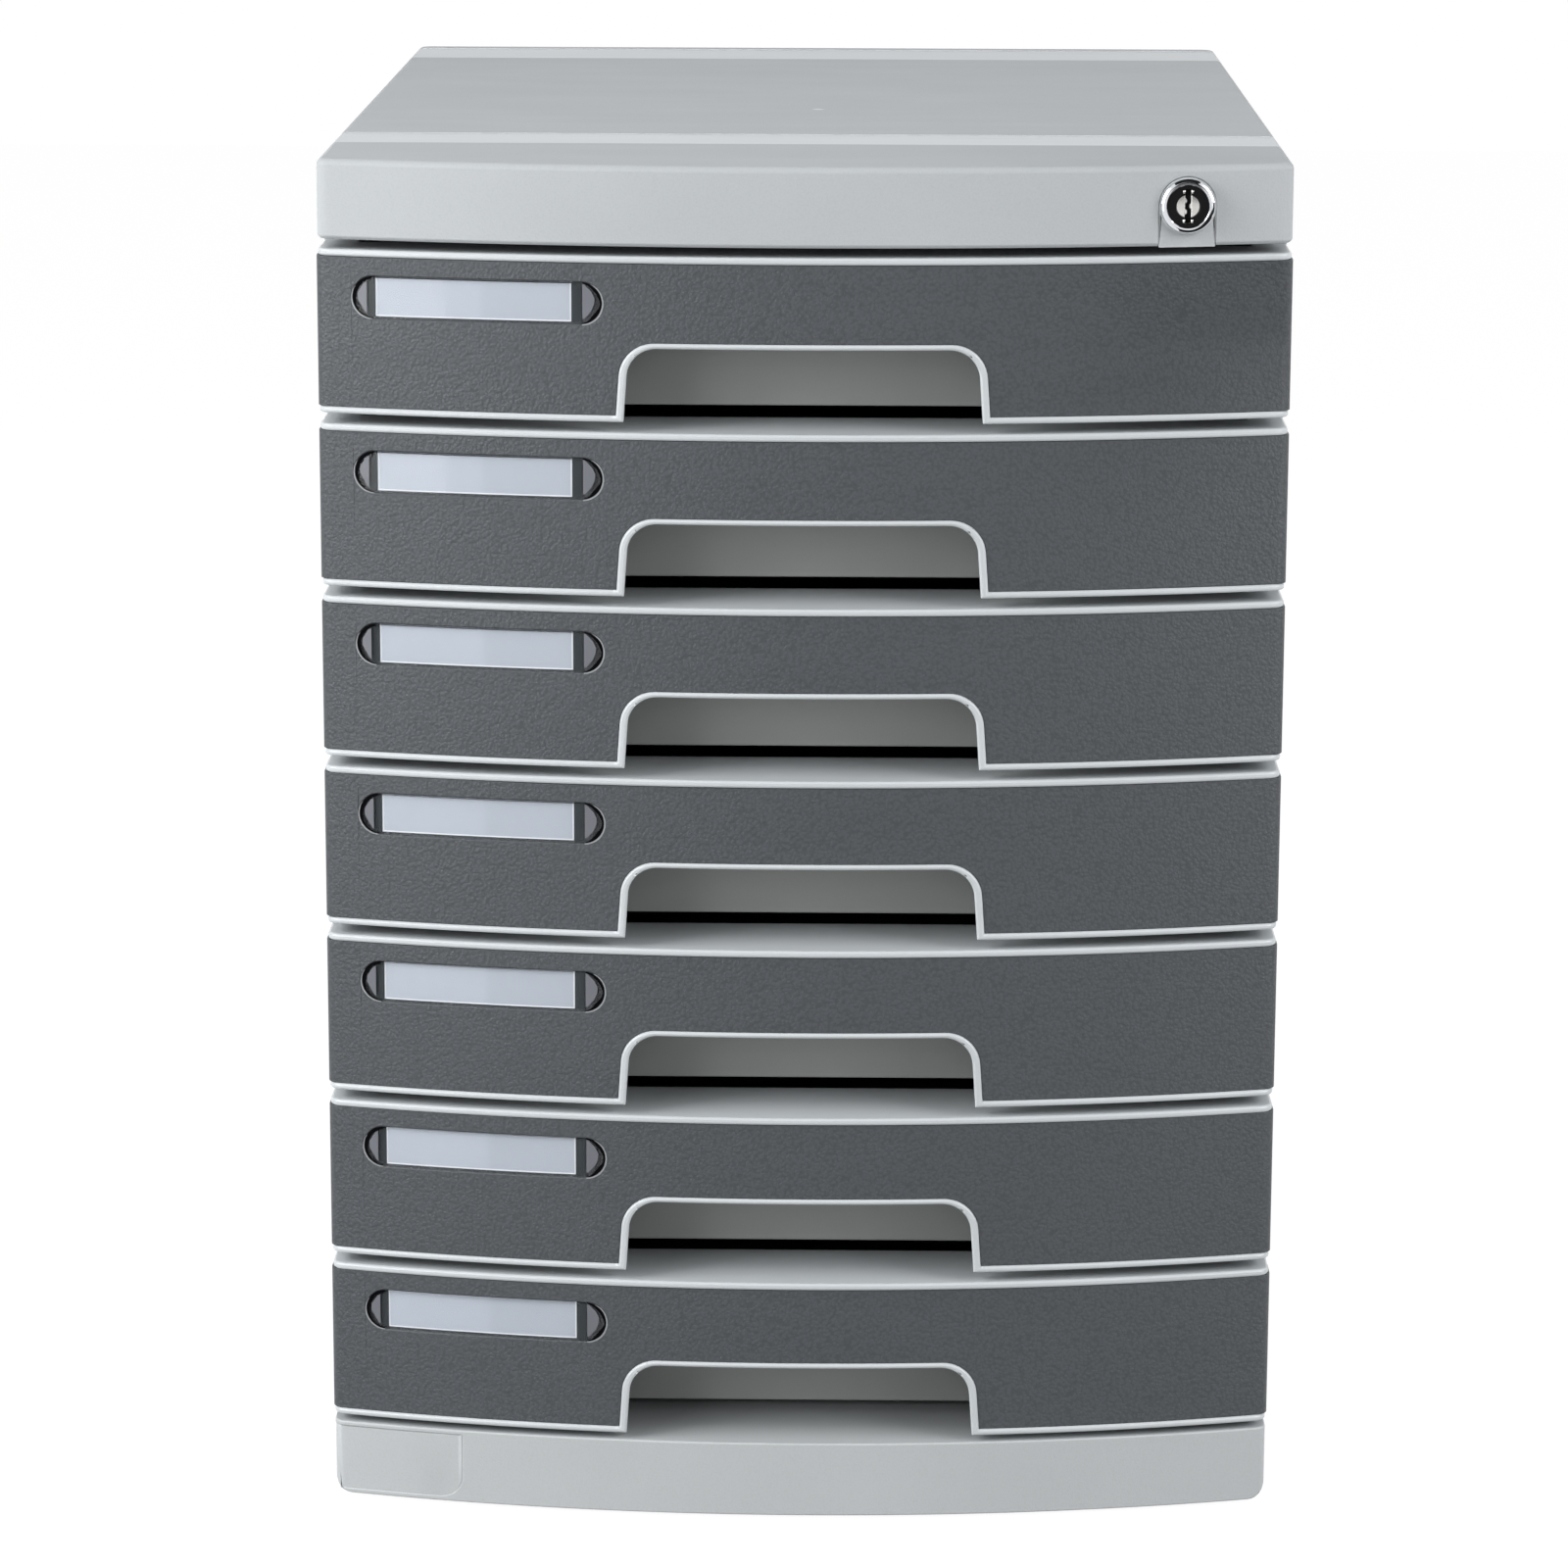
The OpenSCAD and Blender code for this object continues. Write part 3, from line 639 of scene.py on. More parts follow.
@dataclass(frozen=True)
class WorkedMetal(Finish):
    """Metal with fine tool marks.

    Args:
        name: The material's name.
        slot: The record's material slot; not used.
        colour: The metal's linear colour.
        roughness: Its roughness.
        marks: How it is worked.
        relief: The depth of the marks in millimetres.
        centre: The point that turned marks go round.
    """

    name: str
    slot: str
    colour: Colour
    roughness: float
    marks: Marks
    relief: float = 0.004
    centre: Point = (0.0, 0.0, 0.0)

    def wire(self, build: ShaderBuilder, surface: bpy.types.Node, groups: ShaderGroups) -> None:
        """Connects colour, roughness and relief.

        Args:
            build: The material's builder.
            surface: The Principled shader.
            groups: The shared shader groups.
        """
        place = build.node("ShaderNodeTexCoord").outputs["Object"]
        centred = build.node("ShaderNodeMapping", Vector=place,
                             Location=tuple(-value for value in self.centre))
        marks = build.group(groups.brushing, Vector=centred.outputs[0], Rings=self.marks.rings,
                            Pitch=self.marks.pitch)
        mottle = build.group(groups.mottle, Vector=place, Patch_Size=9.0)
        colour = build.mix(build.math("MULTIPLY", marks.outputs["Shade"], 0.35), self.colour,
                           scaled(self.colour, 0.8))
        rough = build.remap(mottle.outputs["Tint"], 0.3, 0.7, self.roughness * 0.8,
                            self.roughness * 1.3)
        bump = build.node("ShaderNodeBump", Height=marks.outputs["Height"],
                          Distance=self.relief * MM)
        build.feed(surface, Base_Color=colour, Roughness=rough, Normal=bump.outputs[0], Metallic=1.0)


@dataclass(frozen=True)
class LabelCard(Finish):
    """Smooth card with fine fibres and a painted highlight along its lower edge and ends.

    Args:
        name: The material's name.
        slot: The record's material slot; not used.
        colour: The card's linear colour.
        edge: The linear colour of the painted highlight along its lower edge and ends.
        half_size: Half the card's length and height in millimetres.
        highlight_w: The width of that painted highlight in millimetres.
        shaded_from: Where its right part gets darker, in millimetres right of its middle.
    """

    name: str
    slot: str
    colour: Colour
    edge: Colour
    half_size: tuple[float, float]
    highlight_w: float = 0.55
    shaded_from: tuple[float, float] = (1.0, 4.0)

    def wire(self, build: ShaderBuilder, surface: bpy.types.Node, groups: ShaderGroups) -> None:
        """Connects colour, roughness and relief.

        Args:
            build: The material's builder.
            surface: The Principled shader.
            groups: The shared shader groups.
        """
        place = build.node("ShaderNodeTexCoord").outputs["Object"]
        across = build.node("ShaderNodeUVMap", {"uv_map": LabelCardMaker.UV_NAME}).outputs[0]
        parts = build.node("ShaderNodeSeparateXYZ", i0=across)
        near: object = 0.0
        # Painted highlight: both ends and, of the long edges, only the lower one are lighter, where
        # light catches the card.
        for axis, half in zip("XY", self.half_size):
            reach = build.math("ABSOLUTE" if axis == "X" else "MULTIPLY", parts.outputs[axis], -1.0)
            line = build.remap(reach, half - self.highlight_w, half - self.highlight_w * 0.6)
            near = build.math("MAXIMUM", near, line)
        fibres = build.node("ShaderNodeTexNoise", Vector=place, Scale=1400.0, Detail=4.0)
        mottle = build.group(groups.mottle, Vector=place, Patch_Size=20.0)
        tone = build.mix(mottle.outputs["Tint"], scaled(self.colour, 0.95),
                         scaled(self.colour, 1.04))
        tone = build.mix(build.remap(fibres.outputs[0], 0.35, 0.7, 0.0, 0.12), tone,
                         scaled(self.colour, 0.8))
        shaded = build.remap(parts.outputs["X"], *self.shaded_from, 0.0, 0.6)
        tone = build.mix(shaded, tone, scaled(self.colour, 0.86))
        colour = build.mix(near, tone, self.edge)
        bump = build.node("ShaderNodeBump", Height=fibres.outputs[0], Distance=0.01 * MM)
        build.feed(surface, Base_Color=colour, Normal=bump.outputs[0], Roughness=0.7)


@dataclass(frozen=True)
class ClearPlastic(Finish):
    """Clear polished plastic, thin enough to show what is behind it.

    Args:
        name: The material's name.
        slot: The record's material slot; not used.
        tint: Its linear colour.
        roughness: Its roughness.
    """

    name: str
    slot: str
    tint: Colour
    roughness: float

    def wire(self, build: ShaderBuilder, surface: bpy.types.Node, groups: ShaderGroups) -> None:
        """Connects transmission and a faint haze.

        Args:
            build: The material's builder.
            surface: The Principled shader.
            groups: The shared shader groups.
        """
        place = build.node("ShaderNodeTexCoord").outputs["Object"]
        mottle = build.group(groups.mottle, Vector=place, Patch_Size=6.0)
        haze = build.remap(mottle.outputs["Tint"], 0.3, 0.7, self.roughness, self.roughness + 0.05)
        build.feed(surface, Roughness=haze, Base_Color=(*self.tint, 1.0), Metallic=0.0,
                   Transmission_Weight=1.0, IOR=1.2)


@dataclass(frozen=True)
class Rubber(Finish):
    """Matt moulded rubber.

    Args:
        name: The material's name.
        slot: The record's material slot; not used.
        colour: Its linear colour.
    """

    name: str
    slot: str
    colour: Colour

    def wire(self, build: ShaderBuilder, surface: bpy.types.Node, groups: ShaderGroups) -> None:
        """Connects colour, roughness and relief.

        Args:
            build: The material's builder.
            surface: The Principled shader.
            groups: The shared shader groups.
        """
        place = build.node("ShaderNodeTexCoord").outputs["Object"]
        grain = build.group(groups.grain, Vector=place, Pebble_Size=0.4)
        colour = build.mix(build.math("MULTIPLY", grain.outputs["Valley"], 0.5), self.colour,
                           scaled(self.colour, 1.8))
        bump = build.node("ShaderNodeBump", Height=grain.outputs["Height"], Distance=0.02 * MM)
        build.feed(surface, Base_Color=colour, Normal=bump.outputs[0], Roughness=0.75)


# ---- Meshes ----


def new_object(name: str, mesh: bpy.types.Mesh) -> bpy.types.Object:
    """Puts a mesh into the scene.

    Args:
        name: The object's name.
        mesh: Its mesh.

    Returns:
        The object, at the origin.
    """
    made = bpy.data.objects.new(name, mesh)
    bpy.context.scene.collection.objects.link(made)
    return made


def object_from(shape: bmesh.types.BMesh, name: str,
                sharp_from: float | None = None) -> bpy.types.Object:
    """Turns a finished shape into an object.

    Args:
        shape: The shape, which is freed.
        name: The object's name.
        sharp_from: The angle in degrees from which the edges of a smooth piece stay sharp, or
            None for a piece with flat faces.

    Returns:
        The object, at the origin.
    """
    mesh = bpy.data.meshes.new(name)
    shape.to_mesh(mesh)
    shape.free()
    if sharp_from is not None:
        mesh.shade_smooth()
        mesh.set_sharp_from_angle(angle=math.radians(sharp_from))
    return new_object(name, mesh)


def bake_modifiers(piece: bpy.types.Object) -> bpy.types.Object:
    """Replaces a piece's mesh by what its modifiers give.

    Args:
        piece: The piece.

    Returns:
        The same piece, with no modifiers.
    """
    graph = bpy.context.evaluated_depsgraph_get()
    graph.update()
    baked = bpy.data.meshes.new_from_object(piece.evaluated_get(graph), preserve_all_data_layers=True,
                                            depsgraph=graph)
    piece.modifiers.clear()
    piece.data = baked
    return piece


EdgeRule = Callable[[bmesh.types.BMEdge], float]


@dataclass
class EdgeRounding:
    """Rounds the sharp outer edges of a mesh.

    Args:
        radius: The largest radius, in millimetres.
        rule: Gives the share of that radius that an edge gets.
        min_angle: The least angle between two faces, in degrees, that counts as an edge.
        segments: How many faces a rounding has.
    """

    radius: float
    rule: EdgeRule = lambda edge: 1.0
    min_angle: float = 28.0
    segments: int = 3

    def apply(self, piece: bpy.types.Object) -> bpy.types.Object:
        """Rounds the piece's edges and keeps it inside its own box.

        Args:
            piece: The piece, with a merged mesh.

        Returns:
            The same piece.
        """
        shape = bmesh.new()
        shape.from_mesh(piece.data)
        low = [min(vert.co[axis] for vert in shape.verts) for axis in range(3)]
        high = [max(vert.co[axis] for vert in shape.verts) for axis in range(3)]
        weight = shape.edges.layers.float.new("bevel_weight_edge")
        for edge in shape.edges:
            if len(edge.link_faces) == 2 and \
                    edge.calc_face_angle_signed(0.0) > math.radians(self.min_angle):
                edge[weight] = self.rule(edge)
        shape.to_mesh(piece.data)
        shape.free()
        piece.data.shade_smooth()
        bevel = piece.modifiers.new("rounding", "BEVEL")
        bevel.width = self.radius * MM
        bevel.segments = self.segments
        bevel.limit_method = "WEIGHT"
        bevel.use_clamp_overlap = False
        bevel.miter_outer = "MITER_ARC"
        bevel.harden_normals = False
        weighted = piece.modifiers.new("flat_faces", "WEIGHTED_NORMAL")
        weighted.keep_sharp = True
        piece.data.set_sharp_from_angle(angle=math.radians(self.min_angle + 7))
        bake_modifiers(piece)
        for vert in piece.data.vertices:
            vert.co = [min(max(value, least), most) for value, least, most in zip(vert.co, low, high)]
        return piece


def merged_copy(node: str, name: str) -> bpy.types.Object:
    """Copies a CAD node's mesh with its loose triangles joined into whole faces.

    Args:
        node: The node.
        name: The copy's name.

    Returns:
        The copy.
    """
    shape = bmesh.new()
    shape.from_mesh(frame["nodes"][node].data)
    bmesh.ops.remove_doubles(shape, verts=shape.verts, dist=0.004 * MM)
    bmesh.ops.dissolve_degenerate(shape, edges=shape.edges, dist=0.004 * MM)
    bmesh.ops.dissolve_limit(shape, angle_limit=math.radians(0.15), verts=shape.verts,
                             edges=shape.edges)
    return object_from(shape, name)


class Workshop:
    """Places finished pieces: body, finish and the CAD nodes they stand for."""

    def __init__(self) -> None:
        """Reads which body each node belongs to."""
        self.groups = ShaderGroups()
        bodies = frame["record"]["behaviour"]["bodies"]
        self.body_of = {node: body for body, nodes in bodies.items() for node in nodes}
        self.count = 0

    def place(self, piece: bpy.types.Object, finish: Finish, body: str,
              *replaced: str) -> bpy.types.Object:
        """Finishes a piece and fixes it to its body.

        Args:
            piece: The piece, at the origin.
            finish: Its finish.
            body: The CAD body it rides on.
            *replaced: The CAD nodes it stands for.

        Returns:
            The piece.
        """
        piece.data.materials.clear()
        piece.data.materials.append(finish.material(self.groups))
        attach(piece, body)
        if replaced:
            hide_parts(*replaced)
        self.count += 1
        log.info("%s: %d faces on %s, %s", piece.name, len(piece.data.polygons), body, finish.name)
        return piece

    def mould(self, node: str, suffix: str, finish: Finish,
              rounding: EdgeRounding) -> bpy.types.Object:
        """Makes a rounded copy of a CAD node and lets it stand for the node.

        Args:
            node: The node.
            suffix: Added to the node's name to name the copy.
            finish: Its finish.
            rounding: How its edges are rounded.

        Returns:
            The piece.
        """
        piece = rounding.apply(merged_copy(node, f"{node}_{suffix}"))
        return self.place(piece, finish, self.body_of[node], node)


# ---- Repeating pieces by Geometry Nodes ----


class LatticeRecipe:
    """A geometry tree that sets copies of one prototype in rows, columns and layers."""

    INPUTS: Sequence[tuple[str, str, object]] = (
        ("Prototype", "Object", None), ("Finish", "Material", None),
        ("Columns", "Int", 1), ("Rows", "Int", 1), ("Layers", "Int", 1),
        ("Pitch", "Vector", (0.0, 0.0, 0.0)), ("First", "Vector", (0.0, 0.0, 0.0)),
        ("Turn", "Float", 0.0), ("Seed", "Int", 7))

    def __init__(self) -> None:
        """Builds the tree once."""
        self.tree = bpy.data.node_groups.new("lattice_of_pieces", "GeometryNodeTree")
        self.ids = add_inputs(self.tree, self.INPUTS)
        self.tree.interface.new_socket("Geometry", in_out="OUTPUT",
                                       socket_type="NodeSocketGeometry")
        build = ShaderBuilder(self.tree)
        given = self.tree.nodes.new("NodeGroupInput")
        parts = build.node("ShaderNodeSeparateXYZ", i0=given.outputs["Pitch"])
        points: bpy.types.NodeSocket | None = None
        for count, axis in (("Columns", "X"), ("Rows", "Y"), ("Layers", "Z")):
            step = build.node("ShaderNodeCombineXYZ", **{axis: parts.outputs[axis]})
            line = build.node("GeometryNodeMeshLine", Count=given.outputs[count],
                              Offset=step.outputs[0])
            if points is None:
                points = line.outputs[0]
                continue
            copies = build.node("GeometryNodeInstanceOnPoints", Points=line.outputs[0],
                                Instance=points)
            points = build.node("GeometryNodeRealizeInstances", Geometry=copies.outputs[0]).outputs[0]
        moved = build.node("GeometryNodeSetPosition", Geometry=points, Offset=given.outputs["First"])
        back = build.math("MULTIPLY", given.outputs["Turn"], -1.0)
        angle = build.node("FunctionNodeRandomValue", {"data_type": "FLOAT"}, Seed=given.outputs["Seed"])
        build.feed(angle, i2=back, i3=given.outputs["Turn"])
        turned = build.node("ShaderNodeCombineXYZ", Z=angle.outputs[1])
        shape = build.node("GeometryNodeObjectInfo", Object=given.outputs["Prototype"])
        placed = build.node("GeometryNodeInstanceOnPoints", Points=moved.outputs[0],
                            Instance=shape.outputs["Geometry"], Rotation=turned.outputs[0])
        real = build.node("GeometryNodeRealizeInstances", Geometry=placed.outputs[0])
        dressed = build.node("GeometryNodeSetMaterial", Geometry=real.outputs[0],
                             Material=given.outputs["Finish"])
        build.node("NodeGroupOutput", i0=dressed.outputs[0])

    def make(self, name: str, prototype: bpy.types.Object, **values: object) -> bpy.types.Object:
        """Makes one piece out of copies of a prototype, and removes the prototype.

        Args:
            name: The piece's name.
            prototype: The object that is copied.
            **values: Inputs of the tree, by name.

        Returns:
            The piece, as a plain mesh.
        """
        piece = new_object(name, bpy.data.meshes.new(name))
        modifier = piece.modifiers.new("lattice", "NODES")
        modifier.node_group = self.tree
        for key, value in {"Prototype": prototype, **values}.items():
            modifier[self.ids[key]] = value
        bake_modifiers(piece)
        bpy.data.objects.remove(prototype)
        return piece


# ---- Shapes ----


def lathe(name: str, profile: Sequence[tuple[float, float]], steps: int = 72) -> bpy.types.Object:
    """Turns a closed or axis-to-axis profile about Z.

    Args:
        name: The object's name.
        profile: Radius and height of each point, in millimetres, from the bottom up on the outside.
        steps: How many faces go round.

    Returns:
        The turned solid.
    """
    shape = bmesh.new()
    rings = []
    for radius, height in profile:
        if radius < 1e-6:
            rings.append([shape.verts.new((0.0, 0.0, height * MM))])
            continue
        rings.append([shape.verts.new((radius * MM * math.cos(turn), radius * MM * math.sin(turn),
                                       height * MM))
                      for turn in (math.tau * step / steps for step in range(steps))])
    pairs = list(zip(rings, rings[1:]))
    if len(rings[0]) > 1:
        pairs.append((rings[-1], rings[0]))
    for low, high in pairs:
        for step in range(steps):
            after = (step + 1) % steps
            corners = [low[step % len(low)], low[after % len(low)],
                       high[after % len(high)], high[step % len(high)]]
            unique = list(dict.fromkeys(corners))
            if len(unique) > 2:
                shape.faces.new(unique)
    bmesh.ops.recalc_face_normals(shape, faces=shape.faces)
    return object_from(shape, name, 35)


def prism(name: str, outline: Sequence[tuple[float, float]], low: float,
          high: float) -> bpy.types.Object:
    """Raises a flat outline to a solid.

    Args:
        name: The object's name.
        outline: The corners in X and Y, in millimetres, in order round the outline.
        low: The height of the bottom, in millimetres.
        high: The height of the top, in millimetres.

    Returns:
        The solid.
    """
    shape = bmesh.new()
    bottom, top = ([shape.verts.new((x * MM, y * MM, z * MM)) for x, y in outline]
                   for z in (low, high))
    shape.faces.new(bottom)
    shape.faces.new(top)
    for corner, foot in enumerate(bottom):
        after = (corner + 1) % len(bottom)
        shape.faces.new((foot, bottom[after], top[after], top[corner]))
    bmesh.ops.recalc_face_normals(shape, faces=shape.faces)
    return object_from(shape, name)


def bar(name: str, cuts: Sequence[Sequence[Point]],
        sharp_from: float | None = None) -> bpy.types.Object:
    """Builds a closed bar through cuts of four corners each.

    Args:
        name: The object's name.
        cuts: The corners of each cut, in metres, in the same order round every cut.
        sharp_from: As for object_from.

    Returns:
        The bar.
    """
    shape = bmesh.new()
    rows = [[shape.verts.new(corner) for corner in cut] for cut in cuts]
    for row, follow in zip(rows, rows[1:]):
        for corner in range(4):
            after = (corner + 1) % 4
            shape.faces.new((row[corner], follow[corner], follow[after], row[after]))
    shape.faces.new(rows[0])
    shape.faces.new(reversed(rows[-1]))
    bmesh.ops.remove_doubles(shape, verts=shape.verts, dist=0.002 * MM)
    bmesh.ops.dissolve_degenerate(shape, edges=shape.edges, dist=0.002 * MM)
    bmesh.ops.recalc_face_normals(shape, faces=shape.faces)
    return object_from(shape, name, sharp_from)


def join(name: str, pieces: Iterable[bpy.types.Object]) -> bpy.types.Object:
    """Joins pieces into one object.

    Args:
        name: The object's name.
        pieces: The pieces, which are removed.

    Returns:
        The joined object.
    """
    shape = bmesh.new()
    for piece in pieces:
        shape.from_mesh(piece.data)
        bpy.data.objects.remove(piece)
    return object_from(shape, name, 30)


def turn_to_front(piece: bpy.types.Object, centre: Point) -> bpy.types.Object:
    """Turns a piece made along Z so that its top faces the front, and moves it to its place.

    Args:
        piece: The piece.
        centre: Where its origin goes, in metres.

    Returns:
        The piece.
    """
    piece.data.transform(Matrix.Translation(centre) @ Matrix.Rotation(math.radians(90), 4, "X"))
    return piece


@dataclass(frozen=True)
class Bow:
    """The bowed front in plan: one large arc with a small one at each end, in millimetres.

    Args:
        half_w: Half the width.
        front: The place of the tip along Y.
        rise: How far the tip stands ahead of the corners.
        corner_r: The radius of the corners.
    """

    half_w: float
    front: float
    rise: float = 19.5
    corner_r: float = 4.5

    @property
    def radius(self) -> float:
        """The radius of the large arc."""
        return (self.half_w ** 2 + self.rise ** 2) / (2 * self.rise)

    @property
    def centre(self) -> float:
        """The place of the large arc's centre along Y."""
        return self.front + self.radius

    def y(self, x: float, depth: float = 0.0) -> float:
        """Finds the bow's surface.

        Args:
            x: A place along X.
            depth: How far behind the front surface.

        Returns:
            The place along Y.
        """
        return self.centre - math.sqrt((self.radius - depth) ** 2 - x * x)

    def depth(self, x: float, y: float) -> float:
        """Finds how far a point lies behind the front surface.

        Args:
            x: The point's place along X.
            y: Its place along Y.

        Returns:
            The depth, to the nearest of the large arc, the corner or the side.
        """
        side_x = self.half_w - self.corner_r
        side_y = self.centre - math.sqrt((self.radius - self.corner_r) ** 2 - side_x ** 2)
        beyond = abs(x) - side_x
        if y > side_y:
            return self.half_w - abs(x)
        if beyond > 0:
            return self.corner_r - math.hypot(beyond, y - side_y)
        return self.radius - math.hypot(x, y - self.centre)

    def bent_plate(self, name: str, columns: Sequence[tuple[float, float, float]], front: float,
                   back: float) -> bpy.types.Object:
        """Builds a plate that follows the bow.

        Args:
            name: The object's name.
            columns: Place along X, lowest Z and highest Z of each upright line, in order.
            front: The depth of its front face.
            back: The depth of its back face.

        Returns:
            The plate.
        """
        cuts = [[(x * MM, self.y(x, depth) * MM, z * MM)
                 for depth, z in ((front, low), (front, high), (back, high), (back, low))]
                for x, low, high in columns]
        return bar(name, cuts, 30)


# ---- The cabinet's finishes ----


COVER_BANDS = ((-142.5, -111.5), (160.5, 201.0))


@dataclass(frozen=True)
class Palette:
    """Every finish of the cabinet."""

    cover: Finish = MouldedPlastic(
        "matt_cover_plastic", "cover_plastic", srgb(176, 180, 183), 0.6, Grain.MATT, dust=0.08,
        wear=0.5, smooth_bands=tuple((low * MM, high * MM) for low, high in COVER_BANDS),
        specular=0.35, gate=(2.8 * MM, -29.4 * MM, 2.4 * MM))
    base: Finish = MouldedPlastic("matt_plinth_plastic", "cover_plastic", srgb(180, 184, 186), 0.5,
                                  Grain.MATT, wear=0.3)
    panel: Finish = MouldedPlastic("matt_panel_plastic", "panel_plastic", srgb(180, 184, 185), 0.5,
                                   Grain.MATT)
    # The tray is the front's light grey plastic, coloured darker as painted shade for its walls seen in
    # the finger cut-outs.
    tray: Finish = MouldedPlastic("satin_tray_plastic_shaded", "tray_plastic", srgb(170, 172, 170), 0.45,
                                  Grain.SATIN, specular=0.3)
    front: Finish = MouldedPlastic("satin_front_plastic", "tray_plastic", srgb(194, 199, 202), 0.34,
                                   Grain.SATIN)
    insert: Finish = MouldedPlastic("pebbled_insert_plastic", "insert_plastic", srgb(67, 71, 75), 0.46,
                                    Grain.PEBBLED, specular=0.38)
    thumb: Finish = MouldedPlastic("thumb_mark_plastic", "clear_plastic", srgb(98, 100, 107), 0.35,
                                   Grain.SATIN)
    # Painted shadow: near-black crescents in the gaps round the caps' ends.
    gap_shadow: Finish = MouldedPlastic("gap_shadow_plastic", "insert_plastic", srgb(8, 8, 10), 0.8,
                                  Grain.SATIN, specular=0.02)
    # Painted highlight: pale crescents on the pocket's polished lip, widest where it catches the light.
    lip: Finish = MouldedPlastic("pocket_lip_highlight_plastic", "insert_plastic", srgb(140, 143, 146), 0.4,
                                 Grain.SATIN)
    # The pocket's floor is the insert's plastic, coloured darker as painted shade.
    strip: Finish = MouldedPlastic("shaded_pocket_floor_plastic", "insert_plastic", srgb(44, 50, 54), 0.6,
                                   Grain.SATIN, specular=0.1)
    face: Finish = MouldedPlastic("lock_face_plastic", "black_plastic", srgb(12, 12, 14), 0.45,
                                  Grain.SATIN, specular=0.12)
    clear: Finish = ClearPlastic("clear_cap_plastic", "clear_plastic", (0.97, 0.98, 0.985), 0.03)
    rubber: Finish = Rubber("foot_rubber", "rubber", srgb(38, 38, 40))
    zinc: Finish = WorkedMetal("zinc_steel", "steel", srgb(196, 198, 202), 0.32, Marks.DRAWN)


# ---- Sub-assemblies ----


